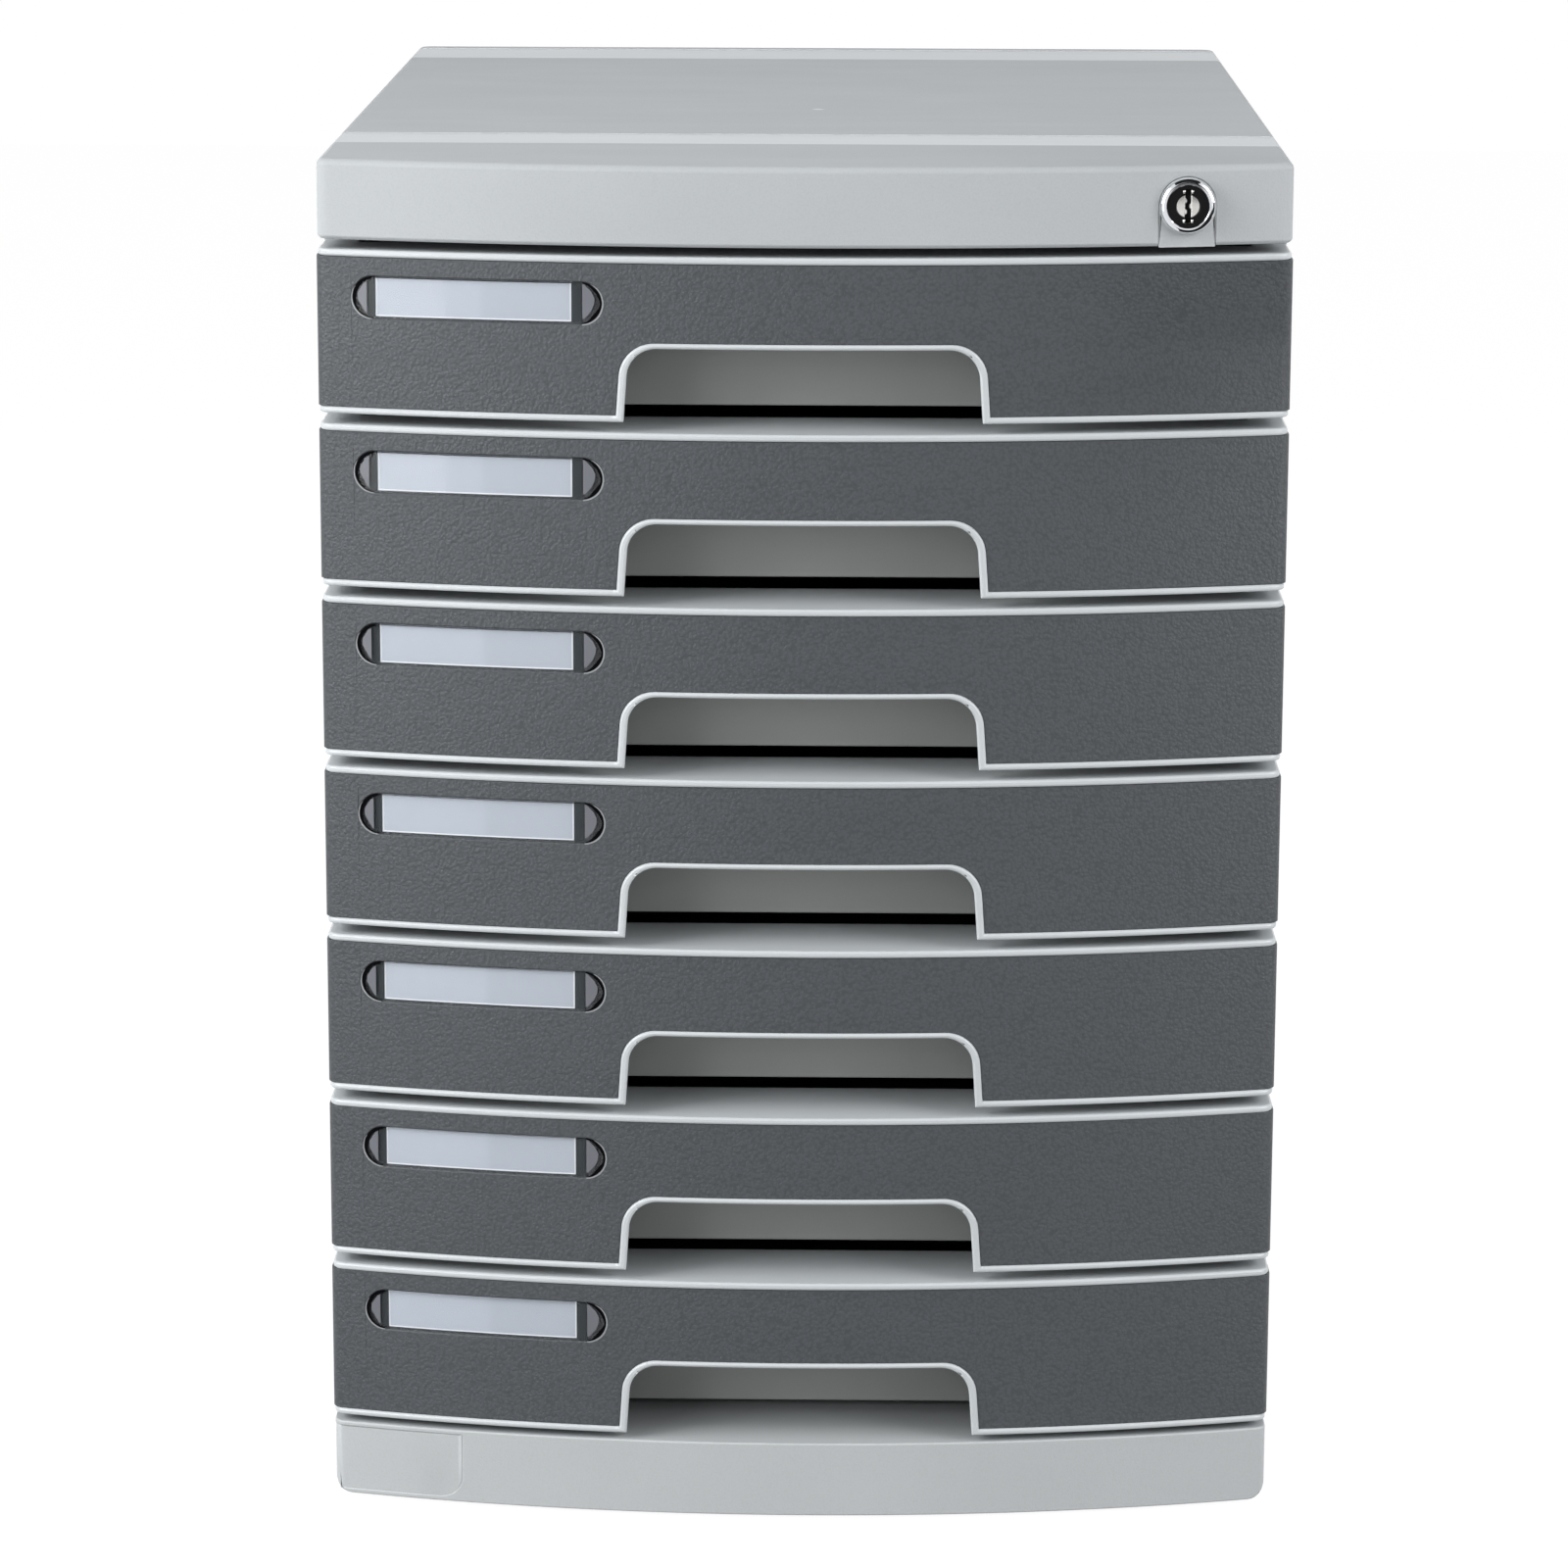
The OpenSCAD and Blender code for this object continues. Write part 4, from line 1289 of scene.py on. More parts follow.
@dataclass
class Cabinet:
    """The cover, the plinth, the side and back panels, the feet and the screws.

    Args:
        shop: Where pieces are finished and placed.
        palette: The finishes.
        bow: The bowed front.
        lattice: The recipe for repeated pieces.
        band_depth: How deep the smooth bands on the cover lie, in millimetres.
        screw_r: The radius of a screw's head, in millimetres.
        root_r: The radius of a screw's shank between its threads, in millimetres.
        crest_r: The radius of its threads, in millimetres.
        foot_r: The radius of a foot, in millimetres.
        stud_r: The radius of the stud that holds a foot, in millimetres.
        foot_h: The height of a foot, in millimetres.
        grips: The inner radii of the grooves in its sole, in millimetres.
        groove: The depth of those grooves, in millimetres.
    """

    shop: Workshop
    palette: Palette
    bow: Bow
    lattice: LatticeRecipe
    band_depth: float = 0.3
    screw_r: float = 3.3
    root_r: float = 1.2
    crest_r: float = 1.45
    foot_r: float = 9.0
    stud_r: float = 3.0
    foot_h: float = 3.4
    grips: tuple[float, ...] = (1.6, 3.6, 5.6)
    groove: float = 0.35

    def build(self) -> None:
        """Builds every piece."""
        self.cover()
        self.plinth()
        self.panels()
        self.feet()
        self.screws()

    def cover(self) -> None:
        """Builds the cover with its smooth bands."""
        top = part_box("top_cover")[1].z / MM

        def rule(edge: bmesh.types.BMEdge) -> float:
            """Gives the steps of the bands a small radius and the rest the full one."""
            height = min(vert.co.z for vert in edge.verts) / MM
            return 0.2 if height > top - self.band_depth - 0.1 else 0.8

        self.shop.mould("top_cover", "moulding", self.palette.cover,
                        EdgeRounding(0.45, rule, min_angle=33))

    def plinth(self) -> None:
        """Builds the plinth."""
        self.shop.mould("base", "moulding", self.palette.base, EdgeRounding(0.5))

    def panels(self) -> None:
        """Builds the side panels and the back panel."""
        for node in ("left_side_panel", "right_side_panel", "back_panel"):
            self.shop.mould(node, "moulding", self.palette.panel, EdgeRounding(0.3, segments=2))

    def feet(self) -> None:
        """Builds the four feet with their grip rings."""
        r, top, groove = self.foot_r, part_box("rubber_feet")[1].z / MM, self.groove
        rings = [(radius + side, height) for radius in self.grips
                 for side, height in ((0.0, 0.0), (0.9, 0.0), (1.2, groove), (1.9, groove))]
        profile = [(0.0, groove), (1.0, groove), *rings, (r - 0.9, 0.0), (r - 0.35, 0.12), (r, 0.7),
                   (r, self.foot_h), (self.stud_r, self.foot_h), (self.stud_r, top - 0.4),
                   (self.stud_r - 0.4, top), (0.0, top)]
        foot = lathe("foot", profile)
        self.at_corners("rubber_feet_moulded", foot, "rubber_feet", self.palette.rubber, r)

    def at_corners(self, name: str, prototype: bpy.types.Object, node: str, finish: Finish,
                   reach: float, turn: float = 0.0) -> None:
        """Puts a prototype at the four corners of a node's box.

        Args:
            name: The piece's name.
            prototype: The object that is copied.
            node: The CAD node that it stands for.
            finish: Its finish.
            reach: The prototype's radius in millimetres.
            turn: The largest random turn about Z, in radians.
        """
        low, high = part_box(node)
        inset = reach * MM
        first = (low.x + inset, low.y + inset, 0.0)
        pitch = (high.x - low.x - 2 * inset, high.y - low.y - 2 * inset, 0.0)
        piece = self.lattice.make(name, prototype, Columns=2, Rows=2, Pitch=pitch, First=first,
                                  Turn=turn, Finish=finish.material(self.shop.groups))
        self.shop.place(piece, finish, "cabinet", node)

    def screws(self) -> None:
        """Builds the screws that hold the cover and the plinth to the side panels."""
        for node, sunk in (("cover_screws", True), ("base_screws", False)):
            low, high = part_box(node)
            bottom, top = low.z / MM, high.z / MM
            r = self.screw_r
            head = 1.75 if sunk else 2.0
            seat = [(self.crest_r, bottom + head)]
            if not sunk:
                seat = [(r, bottom + head - 0.3), (r - 0.3, bottom + head), *seat]
            start = [(r - 0.6, bottom), (r, bottom + 0.12 if sunk else bottom + 0.7)]
            threads = []
            height = bottom + head + 0.6
            while height < top - 1.8:
                threads += [(self.root_r, height), (self.crest_r, height + 0.35),
                            (self.root_r, height + 0.7)]
                height += 0.8
            profile = [(0.0, bottom), *start, *seat, *threads, (self.root_r, top - 1.0),
                       (0.5, top), (0.0, top)]
            screw = lathe("screw", profile, steps=36)
            self.recess(screw, bottom)
            self.at_corners(f"{node}_turned", screw, node, self.palette.zinc, r, math.pi)

    @staticmethod
    def recess(screw: bpy.types.Object, bottom: float) -> None:
        """Cuts the cross recess into a screw's head.

        Args:
            screw: The screw, standing on its head.
            bottom: The height of its face, in millimetres.
        """
        arms = [(2.0, 0.35), (0.35, 0.35), (0.35, 2.0)]
        outline = [(sx * x, sy * y) for sx, sy, order in ((1, 1, 1), (-1, 1, -1), (-1, -1, 1),
                                                         (1, -1, -1))
                   for x, y in arms[::order]]
        cutter = prism("recess", outline, bottom - 1.0, bottom + 1.1)
        cut = screw.modifiers.new("recess", "BOOLEAN")
        cut.object = cutter
        cut.solver = "EXACT"
        bake_modifiers(screw)
        bpy.data.objects.remove(cutter)


@dataclass
class Lock:
    """The key lock, its crank and the bar that locks the drawers.

    Args:
        shop: Where pieces are finished and placed.
        palette: The finishes.
        lattice: The recipe for repeated pieces.
        ring_r: The radius of the chromed ring, in millimetres.
        plug_r: The radius of its bore, in millimetres.
        ring_t: How far the ring stands out, in millimetres.
        rim_w: The width of the ring's rounded rim, in millimetres.
        rim_h: The height at which the rounding begins, in millimetres.
        body_r: The radius of the barrel behind the ring, in millimetres.
        guides: The distances between the guides beside the keyway, across and up, in millimetres.
        wards: The side, the middle's height and half the height of each ward, in millimetres.
        keyway: Half the width of the keyway and half its height, in millimetres.
        depths: How far the guides, the wards and the shutter lie behind the face, in millimetres.
    """

    shop: Workshop
    palette: Palette
    lattice: LatticeRecipe
    ring_r: float = 8.4
    plug_r: float = 6.5
    ring_t: float = 1.6
    rim_w: float = 1.35
    rim_h: float = 0.45
    body_r: float = 7.5
    guides: tuple[float, float] = (2.5, 8.9)
    wards: Sequence[tuple[int, float, float]] = ((-1, 1.75, 0.85), (1, 0.1, 0.95), (-1, -1.65, 0.85))
    keyway: tuple[float, float] = (0.86, 5.15)
    depths: tuple[float, float, float] = (0.15, 2.0, 3.2)

    def __post_init__(self) -> None:
        """Reads the lock's axis from its joint and makes the metals that are turned about it."""
        joint = next(j for j in frame["joints"] if j["name"] == "lock_turn")
        self.x, _, self.z = joint["pos_m"]
        low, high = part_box("lock_barrel")
        self.front, self.rear = low.y, high.y
        centre = (self.x, 0.0, self.z)
        self.chrome = WorkedMetal("polished_chrome", "chrome", srgb(222, 224, 228), 0.07,
                                  Marks.TURNED, 0.001, centre)
        self.nickel = WorkedMetal("turned_nickel", "nickel", srgb(226, 225, 222), 0.16,
                                  Marks.TURNED, 0.003, centre)

    def build(self) -> None:
        """Builds every piece."""
        self.housing()
        self.barrel()
        self.core()
        self.works()

    def housing(self) -> None:
        """Builds the lock's insert in the cover."""
        self.shop.mould("lock_housing", "moulding", self.palette.cover,
                        EdgeRounding(0.12, segments=2))

    def barrel(self) -> None:
        """Builds the barrel with its chromed ring."""
        length = (self.rear - self.front) / MM
        seat = length - self.ring_t
        rim = [(self.ring_r - self.rim_w * (1 - math.cos(turn)),
                seat + self.rim_h + (self.ring_t - self.rim_h) * math.sin(turn))
               for turn in (math.radians(step) for step in range(0, 91, 10))]
        profile = [(self.plug_r, 0.0), (self.body_r - 0.3, 0.0), (self.body_r, 0.3),
                   (self.body_r, seat), (self.ring_r, seat), *rim, (self.plug_r + 0.15, length),
                   (self.plug_r, length - 0.15)]
        barrel = turn_to_front(lathe("lock_barrel_chromed", profile, steps=128),
                               (self.x, self.rear, self.z))
        self.shop.place(barrel, self.chrome, "cabinet", "lock_barrel")

    def core(self) -> None:
        """Builds the turning core, its black face and the guides beside the keyway."""
        self.shop.mould("lock_rotor", "turned", self.nickel, EdgeRounding(0.18))
        self.shop.mould("keyway_ring", "moulding", self.palette.face, EdgeRounding(0.15))
        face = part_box("keyway_ring")[0].y
        guide_y, ward_y, shutter_y = (face + depth * MM for depth in self.depths)
        nib = prism("nib", [(-0.42, -0.1), (0.42, -0.1), (0.3, 0.42), (-0.3, 0.42)], -0.55, 0.55)
        nib.data.transform(Matrix.Rotation(math.radians(180), 4, "Z"))
        wide, tall = (distance * MM for distance in self.guides)
        guides = self.lattice.make(
            "keyway_guides", nib, Columns=2, Rows=1, Layers=2, Pitch=(wide, 0.0, tall),
            First=(self.x - wide / 2, guide_y, self.z - tall / 2),
            Finish=self.nickel.material(self.shop.groups))
        EdgeRounding(0.12, segments=2).apply(guides)
        self.shop.place(guides, self.nickel, "lock_plug")
        wards = []
        for side, height, half in self.wards:
            outline = [(side * 0.95, height - half), (side * 0.4, height - half * 0.5),
                       (side * 0.4, height + half * 0.5), (side * 0.95, height + half)]
            wards.append(prism("ward", outline[::side], 0.0, 1.4))
        keyway = join("keyway_wards", wards)
        turn_to_front(keyway, (self.x, ward_y, self.z))
        self.shop.place(keyway, self.nickel, "lock_plug")
        x, z = self.keyway
        shutter = prism("keyway_shutter", [(-x, -z), (x, -z), (x, z), (-x, z)], 0.0, 0.8)
        turn_to_front(shutter, (self.x, shutter_y, self.z))
        self.shop.place(shutter, self.palette.face, "lock_plug")

    def works(self) -> None:
        """Builds the crank, its screw, the clip, the bar and the catches."""
        zinc = self.palette.zinc
        for node, radius in (("lock_cam", 0.25), ("cam_screw", 0.1), ("lock_clip", 0.12),
                             ("lock_bar", 0.25)):
            self.shop.mould(node, "pressed", zinc, EdgeRounding(radius, segments=2))
        low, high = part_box("lock_catches")
        first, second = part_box("drawer_7_tray"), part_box("drawer_6_tray")
        pitch = second[0].z - first[0].z
        width, depth = (high.x - low.x) / MM, (high.y - low.y) / MM
        height = (high.z - low.z - (len(DRAWERS) - 1) * pitch) / MM
        sheet, inner, outer = 1.5, 1.0, 1.2
        turns = [math.radians(angle) for angle in (0, 30, 60, 90)]
        corner = [(width - sheet - inner + inner * math.sin(turn),
                   depth - sheet - inner + inner * math.cos(turn)) for turn in turns]
        elbow = [(width - outer + outer * math.sin(turn), depth - outer + outer * math.cos(turn))
                 for turn in reversed(turns)]
        outline = [(0.0, depth - sheet), *corner, (width - sheet, 0.0), (width, 0.0), *elbow,
                   (0.0, depth)]
        catch = prism("catch", outline, 0.0, height)
        piece = self.lattice.make("lock_catches_pressed", catch, Layers=len(DRAWERS),
                                  Pitch=(0.0, 0.0, pitch), First=tuple(low),
                                  Finish=zinc.material(self.shop.groups))
        EdgeRounding(0.2, segments=2).apply(piece)
        self.shop.place(piece, zinc, "lock_bar", "lock_catches")


@dataclass
class LabelCardMaker:
    """The paper card in a drawer's label pocket, in millimetres.

    Args:
        bow: The bowed front.
        centre: The card's middle, along X and above the drawer's foot.
        size: Its length and height.
        front: The depth of its face behind the bow.
        thickness: Its thickness.
    """

    UV_NAME = "card_place"

    bow: Bow
    centre: tuple[float, float] = (-101.35, 36.4)
    size: tuple[float, float] = (60.8, 11.7)
    front: float = 1.9
    thickness: float = 0.33

    def build(self, name: str, foot: float) -> bpy.types.Object:
        """Builds a card.

        Args:
            name: The object's name.
            foot: The height of the drawer's foot.

        Returns:
            The card.
        """
        half_l, half_h = self.size[0] / 2, self.size[1] / 2
        middle = foot + self.centre[1]
        steps = 18
        columns = [(self.centre[0] - half_l + 2 * half_l * step / steps, middle - half_h,
                    middle + half_h) for step in range(steps + 1)]
        card = self.bow.bent_plate(name, columns, self.front, self.front + self.thickness)
        layer = card.data.uv_layers.new(name=self.UV_NAME)
        for loop in card.data.loops:
            place = card.data.vertices[loop.vertex_index].co / MM
            layer.data[loop.index].uv = (place.x - self.centre[0], place.z - middle)
        return card


@dataclass(frozen=True)
class CapEnd:
    """What shows at one end of a cap, in millimetres from the middle of its round end.

    Args:
        side: -1 for the left end and 1 for the right one.
        mark: The outline of the thumb mark, outwards and up.
        strip: The range, outwards, of the pocket floor's strip between the card and the mark, darkened
            as painted shade.
        gaps: The width of the painted shadow in the gap by angle, 0 outwards and 90 up, in rising order.
        lips: The width of the painted highlight on the pocket's lip outside the gap, by angle.
    """

    side: int
    mark: tuple[tuple[float, float], ...]
    strip: tuple[float, float]
    gaps: tuple[tuple[float, float], ...]
    lips: tuple[tuple[float, float], ...]

    @staticmethod
    def width_at(widths: Sequence[tuple[float, float]], angle: float) -> float:
        """Finds a width between the angles that it is given at.

        Args:
            widths: The width by angle, in rising order.
            angle: Where, in degrees.

        Returns:
            The width.
        """
        for (low, before), (high, after) in zip(widths, widths[1:]):
            if low <= angle <= high:
                return before + (after - before) * (angle - low) / (high - low)
        return widths[-1][1]


CAP_ENDS = (
    CapEnd(-1, ((1.9, 4.9), (2.9, 4.4), (4.7, 1.6), (4.8, -0.4), (3.7, -2.3), (2.4, -4.5),
                (1.9, -4.9)), (-0.7, 1.8),
           ((-90, 0.25), (-70, 0.35), (-45, 0.45), (-20, 0.8), (0, 1.1), (30, 1.15), (60, 0.9),
            (90, 0.6)),
           ((-90, 0.2), (-60, 0.42), (-20, 0.45), (10, 0.3), (35, 0.05))),
    CapEnd(1, ((0.4, 6.0), (1.2, 5.6), (3.2, 3.6), (4.2, 1.5), (4.0, -0.4), (3.1, -2.4),
               (1.2, -4.6), (0.4, -4.8)), (-3.0, 0.1),
           ((-90, 0.2), (-75, 0.4), (-50, 1.2), (-30, 1.2), (-10, 0.6), (5, 0.6), (20, 0.9),
            (45, 1.0), (75, 0.5), (90, 0.3)),
           ((-90, 0.35), (-45, 0.5), (0, 0.45), (40, 0.35), (65, 0.05))),
)


@dataclass
class LabelCap:
    """The clear cap over a label, with its thumb marks, in millimetres.

    Args:
        bow: The bowed front.
        centre: The cap's middle, along X and above the drawer's foot.
        length: Its length.
        height: Its height.
        face: The depth of its face behind the bow.
        thickness: Its thickness.
        mark_depths: The front and back of the thumb marks, behind the cap's face.
        gap_depths: The front and back of the painted shadows in the gaps, behind the cap's face.
        lip_depths: The front and back of the painted highlights on the pocket's lips, behind the cap's
            face.
        strip_depths: The front and back of the pocket floor's strips, darkened as painted shade, behind
            the bow.
        strip_half: Half the height of those strips.
        lip_offset: How far outside the cap the lips begin.
    """

    bow: Bow
    centre: tuple[float, float] = (-100.25, 36.4)
    length: float = 77.4
    height: float = 12.8
    face: float = 0.7
    thickness: float = 0.9
    mark_depths: tuple[float, float] = (-0.06, 0.2)
    gap_depths: tuple[float, float] = (-0.03, 0.3)
    lip_depths: tuple[float, float] = (-0.14, 0.3)
    strip_depths: tuple[float, float] = (1.7, 1.82)
    strip_half: float = 5.9
    lip_offset: float = 0.08

    @property
    def reach(self) -> float:
        """How far the middles of the round ends lie from the cap's middle."""
        return (self.length - self.height) / 2

    def columns(self, foot: float) -> list[tuple[float, float, float]]:
        """Works out the cap's outline.

        Args:
            foot: The height of the drawer's foot.

        Returns:
            The place along X, the lowest Z and the highest Z of each upright line.
        """
        r = self.height / 2
        middle = foot + self.centre[1]
        spots = [-self.reach - r * math.cos(math.radians(a)) for a in range(0, 91, 9)]
        spots += [-self.reach + 2 * self.reach * step / 14 for step in range(1, 15)]
        spots += [self.reach + r * math.sin(math.radians(a)) for a in range(9, 91, 9)]
        found = []
        for spot in spots:
            over = max(abs(spot) - self.reach, 0.0)
            half = math.sqrt(max(r * r - over * over, 0.0))
            found.append((self.centre[0] + spot, middle - half, middle + half))
        return found

    def cap(self, name: str, foot: float) -> bpy.types.Object:
        """Builds the clear cap.

        Args:
            name: The object's name.
            foot: The height of the drawer's foot.

        Returns:
            The cap.
        """
        piece = self.bow.bent_plate(name, self.columns(foot), self.face, self.face + self.thickness)
        return EdgeRounding(0.25, min_angle=40, segments=2).apply(piece)

    def plate(self, name: str, foot: float, side: int, outline: Sequence[tuple[float, float]],
              front: float, back: float) -> bpy.types.Object:
        """Builds a thin plate at one end of the cap, bent along the bow.

        Args:
            name: The object's name.
            foot: The height of the drawer's foot.
            side: -1 for the left end and 1 for the right one.
            outline: A convex outline, outwards and up from the middle of the round end.
            front: The depth of its front face.
            back: The depth of its back face.

        Returns:
            The plate.
        """
        low, high = min(x for x, _ in outline), max(x for x, _ in outline)
        spots = {x for x, _ in outline} | {low + (high - low) * step / 6 for step in range(7)}
        columns = []
        for spot in sorted(spots, reverse=side < 0):
            heights = []
            for (x0, z0), (x1, z1) in zip(outline, (*outline[1:], outline[0])):
                if x0 == x1 == spot:
                    heights += [z0, z1]
                elif x0 != x1 and min(x0, x1) - 1e-6 <= spot <= max(x0, x1) + 1e-6:
                    heights.append(z0 + (z1 - z0) * (spot - x0) / (x1 - x0))
            middle = foot + self.centre[1]
            columns.append((self.centre[0] + side * (self.reach + spot), middle + min(heights),
                            middle + max(heights)))
        return self.bow.bent_plate(name, columns, front, back)

    def crescent(self, name: str, foot: float, side: int,
                 rings: Sequence[tuple[float, float, float]],
                 depths: tuple[float, float]) -> bpy.types.Object:
        """Builds a thin crescent round one end of the cap, bent along the bow.

        Args:
            name: The object's name.
            foot: The height of the drawer's foot.
            side: -1 for the left end and 1 for the right one.
            rings: The angle, the inner and the outer radius of each cut through it, in order.
            depths: The depths of its front and back behind the cap's face.

        Returns:
            The crescent.
        """
        middle = foot + self.centre[1]
        front, back = (self.face + depth for depth in depths)
        cuts = []
        for angle, inner, outer in rings:
            turn = math.radians(angle)
            cut = []
            for radius, depth in ((outer, front), (inner, front), (inner, back), (outer, back)):
                x = self.centre[0] + side * (self.reach + radius * math.cos(turn))
                cut.append((x * MM, self.bow.y(x, depth) * MM,
                            (middle + radius * math.sin(turn)) * MM))
            cuts.append(cut)
        return bar(name, cuts)

    def end_gap(self, foot: float, end: CapEnd) -> bpy.types.Object:
        """Builds the painted shadow in the gap round one end of the cap.

        Args:
            foot: The height of the drawer's foot.
            end: What shows at that end.

        Returns:
            The gap's crescent.
        """
        r = self.height / 2
        rings = [(angle, r - end.width_at(end.gaps, angle), r) for angle in range(-87, 88, 6)]
        return self.crescent("gap", foot, end.side, rings, self.gap_depths)

    def end_lip(self, foot: float, end: CapEnd) -> bpy.types.Object:
        """Builds the painted highlight on the pocket's lip round one end of the cap.

        Args:
            foot: The height of the drawer's foot.
            end: What shows at that end.

        Returns:
            The lip's crescent.
        """
        inner = self.height / 2 + self.lip_offset
        rings = [(angle, inner, inner + end.width_at(end.lips, angle))
                 for angle in range(-87, round(end.lips[-1][0]) + 1, 6)]
        return self.crescent("lip", foot, end.side, rings, self.lip_depths)

    def end_mark(self, foot: float, end: CapEnd) -> bpy.types.Object:
        """Builds the thumb mark at one end of the cap.

        Args:
            foot: The height of the drawer's foot.
            end: What shows at that end.

        Returns:
            The mark.
        """
        front, back = (self.face + depth for depth in self.mark_depths)
        return self.plate("mark", foot, end.side, end.mark, front, back)

    def end_strip(self, foot: float, end: CapEnd) -> bpy.types.Object:
        """Builds the strip of the pocket's floor at one end of the card, darker than the insert as
        painted shade.

        Args:
            foot: The height of the drawer's foot.
            end: What shows at that end.

        Returns:
            The strip.
        """
        (low, high), half = end.strip, self.strip_half
        outline = ((low, -half), (high, -half), (high, half), (low, half))
        return self.plate("strip", foot, end.side, outline, *self.strip_depths)


@dataclass
class Drawers:
    """The seven drawers: tray, front, grained insert, striker, card and cap.

    Args:
        shop: Where pieces are finished and placed.
        palette: The finishes.
        bow: The bowed front.
        rim_r: The radius along the rims, in millimetres.
        fine_r: The radius of the other edges, in millimetres.
        pocket_r: The radius round a label's pocket, in millimetres.
    """

    shop: Workshop
    palette: Palette
    bow: Bow
    rim_r: float = 0.75
    fine_r: float = 0.2
    pocket_r: float = 0.5
    model: dict[str, bpy.types.Mesh] = field(default_factory=dict)

    def build(self) -> None:
        """Builds every drawer."""
        card = LabelCardMaker(self.bow)
        cap = LabelCap(self.bow)
        # The second colour is the painted highlight along each card's lower edge and ends.
        card_finish = LabelCard("label_card", "card", srgb(176, 183, 194), srgb(226, 230, 236),
                                (card.size[0] / 2, card.size[1] / 2))
        for number in DRAWERS:
            name = f"drawer_{number}"
            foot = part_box(f"{name}_front")[0].z / MM
            self.moulded(number, "front", self.palette.front,
                         EdgeRounding(self.rim_r, self.front_rule, min_angle=35))
            self.moulded(number, "fascia", self.palette.insert,
                         EdgeRounding(self.pocket_r, self.insert_rule, segments=2))
            self.moulded(number, "tray", self.palette.tray, EdgeRounding(0.4))
            self.moulded(number, "striker", self.palette.tray, EdgeRounding(0.4))
            self.shop.place(card.build(f"{name}_card", foot), card_finish, name,
                            f"{name}_label_card")
            glass = self.shop.place(cap.cap(f"{name}_cap", foot), self.palette.clear, name,
                                    f"{name}_label_window")
            glass.visible_shadow = False
            glass.visible_diffuse = False
            for ending, finish, build in (("thumb_marks", self.palette.thumb, cap.end_mark),
                                          ("cap_gaps", self.palette.gap_shadow, cap.end_gap),
                                          ("pocket_lips", self.palette.lip, cap.end_lip),
                                          ("pocket_strips", self.palette.strip, cap.end_strip)):
                pair = join(f"{name}_{ending}", [build(foot, end) for end in CAP_ENDS])
                self.shop.place(pair, finish, name)

    def insert_rule(self, edge: bmesh.types.BMEdge) -> float:
        """Gives the front edge of the label's pocket a larger radius than the rest.

        Args:
            edge: An edge of an insert.

        Returns:
            The share of the pocket's radius.
        """
        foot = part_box("drawer_1_front")[0].z
        cap = LabelCap(self.bow)
        for vert in edge.verts:
            x, y, z = (vert.co.x / MM, vert.co.y / MM, (vert.co.z - foot) / MM)
            inside = abs(x - cap.centre[0]) < cap.length / 2 + 0.5 \
                and abs(z - cap.centre[1]) < cap.height / 2 + 0.5
            if not inside or self.bow.depth(x, y) > 0.65:
                return self.fine_r / self.pocket_r
        return 1.0

    def front_rule(self, edge: bmesh.types.BMEdge) -> float:
        """Gives the rims' front edges the full radius and the others the fine one.

        Args:
            edge: An edge of a drawer front.

        Returns:
            The share of the rims' radius.
        """
        depths = [self.bow.depth(vert.co.x / MM, vert.co.y / MM) for vert in edge.verts]
        return 1.0 if max(depths) < 0.25 else self.fine_r / self.rim_r

    def moulded(self, number: int, part: str, finish: Finish, rounding: EdgeRounding) -> None:
        """Makes one moulded part of a drawer, as a shifted copy of the first drawer's.

        Args:
            number: The drawer, counted from the top.
            part: The part's name in the CAD.
            finish: Its finish.
            rounding: How its edges are rounded.
        """
        node = f"drawer_{number}_{part}"
        if part not in self.model:
            first = rounding.apply(merged_copy(node, f"{node}_moulding"))
            self.model[part] = first.data.copy()
            self.shop.place(first, finish, self.shop.body_of[node], node)
            return
        mesh = self.model[part].copy()
        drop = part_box(node)[0].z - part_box(f"drawer_1_{part}")[0].z
        mesh.transform(Matrix.Translation((0.0, 0.0, drop)))
        self.shop.place(new_object(f"{node}_moulding", mesh), finish, self.shop.body_of[node], node)


# ---- Studio ----


def flat_card(name: str, middle: Vector, across: Vector, along: Vector) -> bpy.types.Object:
    """Builds a flat rectangle.

    Args:
        name: The object's name.
        middle: Its middle, in metres.
        across: From its middle to the middle of one side.
        along: From its middle to the middle of the next side.

    Returns:
        The rectangle.
    """
    shape = bmesh.new()
    shape.faces.new([shape.verts.new(middle + across * first + along * second)
                     for first, second in ((-1, -1), (1, -1), (1, 1), (-1, 1))])
    return object_from(shape, name)


@dataclass
class SoftBox:
    """A square lamp.

    Args:
        name: The lamp's name.
        place: Where it stands, in metres.
        aim: The point that it faces.
        size: Its width and height.
        power: Its power in watts.
    """

    name: str
    place: Point
    aim: Point
    size: tuple[float, float]
    power: float

    def build(self) -> None:
        """Makes the lamp."""
        lamp = bpy.data.lights.new(self.name, "AREA")
        lamp.shape = "RECTANGLE"
        lamp.size, lamp.size_y = self.size
        lamp.energy = self.power
        made = bpy.data.objects.new(self.name, lamp)
        made.location = self.place
        made.rotation_euler = (Vector(self.aim) - Vector(self.place)).to_track_quat("-Z", "Y") \
            .to_euler()
        bpy.context.scene.collection.objects.link(made)


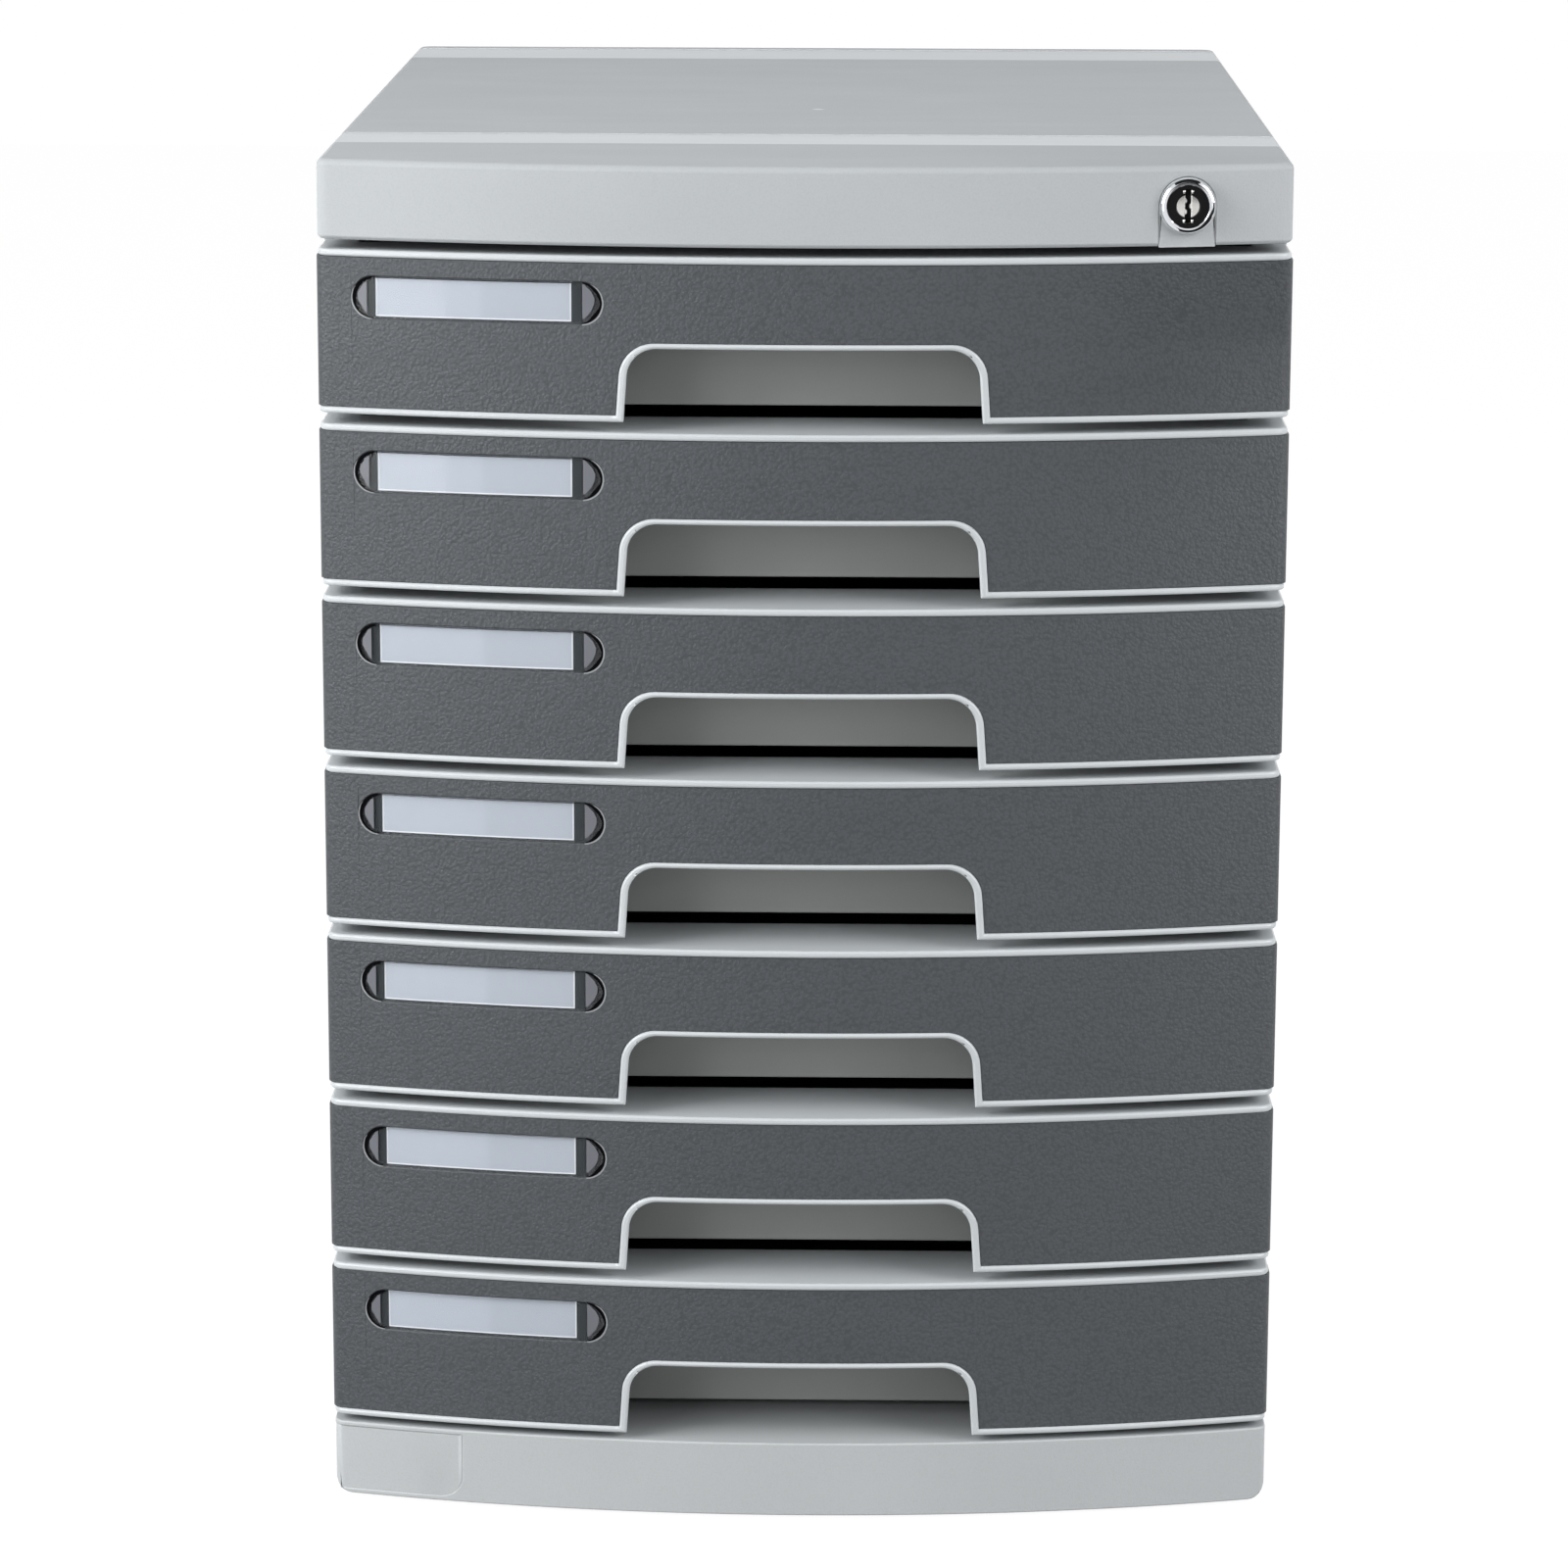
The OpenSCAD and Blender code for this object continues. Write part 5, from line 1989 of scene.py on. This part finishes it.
@dataclass
class Flag:
    """A card that only reflections show: a dark ceiling or desk, or a lit wall.

    Args:
        name: The card's name.
        centre: Its middle, in metres.
        size: Its width, and its depth or height.
        strength: How bright it is.
        upright: Whether it stands up and faces the cabinet, or lies level.
    """

    name: str
    centre: Point
    size: tuple[float, float]
    strength: float
    upright: bool

    def build(self) -> None:
        """Makes the card."""
        middle = Vector(self.centre)
        across = Vector((-middle.y, middle.x, 0.0)).normalized() if self.upright \
            else Vector((1.0, 0.0, 0.0))
        along = Vector((0.0, 0.0, 1.0)) if self.upright else Vector((0.0, 1.0, 0.0))
        across *= self.size[0] / 2
        along *= self.size[1] / 2
        card = flat_card(self.name, middle, across, along)
        material, build = blank_material(self.name)
        glow = build.node("ShaderNodeEmission", Color=WHITE, Strength=self.strength)
        build.node("ShaderNodeOutputMaterial", Surface=glow.outputs[0])
        card.data.materials.append(material)
        for kind in ("camera", "diffuse", "transmission", "volume_scatter", "shadow"):
            setattr(card, f"visible_{kind}", False)


@dataclass
class Studio:
    """The floor, the white surroundings and the lamps.

    Args:
        ambient: The strength of the surroundings for everything but what is seen directly.
        floor_size: Half the floor's side, in metres.
        floor_grey: How much light the floor throws back.
        floor_glow: How bright the floor itself is where it is seen.
        floor_share: The share of that glow in what is seen, so that the shadow still shows.
        lamps: The lamps.
        flags: The cards that only reflections show.
    """

    ambient: float = 0.27
    floor_size: float = 4.0
    floor_grey: float = 0.45
    floor_glow: float = 1.18
    floor_share: float = 0.82
    lamps: Sequence[SoftBox] = (
        SoftBox("left_key", (-1.5, -0.8, 1.0), (0, -0.1, 0.3), (1.0, 1.2), 33.0),
        SoftBox("left_strip", (-1.0, -1.4, 0.75), (0, -0.1, 0.25), (0.5, 1.1), 4.5),
        SoftBox("right_strip", (1.1, -1.4, 0.75), (0, -0.1, 0.25), (0.5, 1.1), 1.8),
        SoftBox("right_key", (1.5, -0.8, 1.0), (0, -0.1, 0.3), (1.0, 1.2), 23.0),
        SoftBox("above", (0.0, -0.4, 2.4), (0, 0, 0.3), (1.6, 1.6), 0.8),
    )

    flags: Sequence[Flag] = (
        Flag("dark_over_lock", (0.117, -0.225, 0.50), (0.10, 0.25), 0.02, False),
        Flag("dark_under_lock", (0.155, -0.27, 0.375), (0.10, 0.12), 0.02, False),
        Flag("dark_beside_lock", (0.215, -0.235, 0.400), (0.10, 0.05), 0.02, True),
        Flag("dark_low_before_lock", (0.165, -0.30, 0.372), (0.075, 0.06), 0.02, True),
        Flag("dark_before_lock", (0.125, -0.33, 0.455), (0.07, 0.06), 0.02, True),
        Flag("grey_near_lock", (0.119, -0.245, 0.4235), (0.013, 0.014), 0.22, True),
        Flag("lit_wall_left", (-1.15, -1.65, 0.5), (0.6, 1.4), 7.0, True),
        Flag("lit_wall_right", (1.4, -1.4, 0.5), (0.6, 1.4), 4.5, True),
    )

    def build(self) -> None:
        """Makes the studio."""
        self.surroundings()
        self.floor()
        for piece in (*self.lamps, *self.flags):
            piece.build()
        bpy.context.scene.view_settings.view_transform = "Standard"

    @staticmethod
    def seen(build: ShaderBuilder) -> bpy.types.NodeSocket:
        """Finds what the camera sees straight, in a reflection or through glass.

        Args:
            build: A builder of a shader tree.

        Returns:
            1 for those rays and 0 for the others.
        """
        path = build.node("ShaderNodeLightPath")
        mirror = build.math("MAXIMUM", path.outputs["Is Glossy Ray"],
                            path.outputs["Is Transmission Ray"])
        direct = build.math("LESS_THAN", path.outputs["Diffuse Depth"], 0.5)
        return build.math("MAXIMUM", path.outputs["Is Camera Ray"],
                          build.math("MULTIPLY", mirror, direct))

    def surroundings(self) -> None:
        """Makes the world."""
        world = bpy.data.worlds.new("white_surroundings")
        build = emptied(world)
        strength = build.math("ADD", self.ambient,
                              build.math("MULTIPLY", self.seen(build), 1.0 - self.ambient))
        light = build.node("ShaderNodeBackground", Color=WHITE, Strength=strength)
        build.node("ShaderNodeOutputWorld", Surface=light.outputs[0])
        bpy.context.scene.world = world

    def floor(self) -> None:
        """Makes the white floor, which keeps the cabinet's shadow."""
        half = self.floor_size
        plane = flat_card("floor", Vector(), Vector((half, 0.0, 0.0)), Vector((0.0, half, 0.0)))
        material, build = blank_material("white_floor")
        matt = build.node("ShaderNodeBsdfDiffuse", Color=(*[self.floor_grey] * 3, 1.0))
        glow = build.node("ShaderNodeEmission", Color=WHITE, Strength=self.floor_glow)
        share = build.math("MULTIPLY", self.seen(build), self.floor_share)
        mixed = build.node("ShaderNodeMixShader", i0=share, i1=matt.outputs[0], i2=glow.outputs[0])
        build.node("ShaderNodeOutputMaterial", Surface=mixed.outputs[0])
        plane.data.materials.append(material)


@dataclass
class PhotoCamera:
    """The camera at the photograph's place.

    Args:
        place: Where it stands, in metres.
        pitch: How far it looks down, in degrees.
        yaw: How far it looks to the right, in degrees.
        roll: How far it leans, in degrees.
        focal_px: Its focal length in pixels of the photograph.
        image_px: The photograph's width in pixels.
        sensor_mm: The width of its sensor in millimetres.
        nearest: How near things may be and still be seen, in metres.
    """

    place: Point = (0.017902, -1.870513, 0.611096)
    pitch: float = 12.559
    yaw: float = -0.804
    roll: float = 0.182
    focal_px: float = 5595.9
    image_px: float = 1600.0
    sensor_mm: float = 36.0
    nearest: float = 0.05

    def build(self) -> None:
        """Makes the camera and sets it as the scene's own."""
        p, y, r = (math.radians(value) for value in (self.pitch, self.yaw, self.roll))
        ahead = Vector((math.sin(y) * math.cos(p), math.cos(y) * math.cos(p), -math.sin(p)))
        right = Vector((math.cos(y), -math.sin(y), 0.0))
        up = right.cross(ahead)
        turned_right = right * math.cos(r) + up * math.sin(r)
        turned_up = up * math.cos(r) - right * math.sin(r)
        matrix = Matrix((turned_right, turned_up, -ahead)).transposed().to_4x4()
        matrix.translation = self.place
        lens = bpy.data.cameras.new("photo_camera")
        lens.sensor_width = self.sensor_mm
        lens.lens = self.focal_px / self.image_px * self.sensor_mm
        lens.clip_start = self.nearest
        made = bpy.data.objects.new("photo_camera", lens)
        made.matrix_world = matrix
        bpy.context.scene.collection.objects.link(made)
        bpy.context.scene.camera = made


def main() -> None:
    """Builds the camera, the studio and every piece of the cabinet."""
    logging.basicConfig(level=logging.INFO, format="%(name)s: %(message)s")
    PhotoCamera().build()
    Studio().build()
    low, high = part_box("top_cover")
    bow = Bow((high.x - low.x) / 2 / MM, low.y / MM)
    shop = Workshop()
    palette = Palette()
    lattice = LatticeRecipe()
    Cabinet(shop, palette, bow, lattice).build()
    Lock(shop, palette, lattice).build()
    Drawers(shop, palette, bow).build()
    log.info("%d pieces placed", shop.count)


if __name__ == "__main__":
    main()
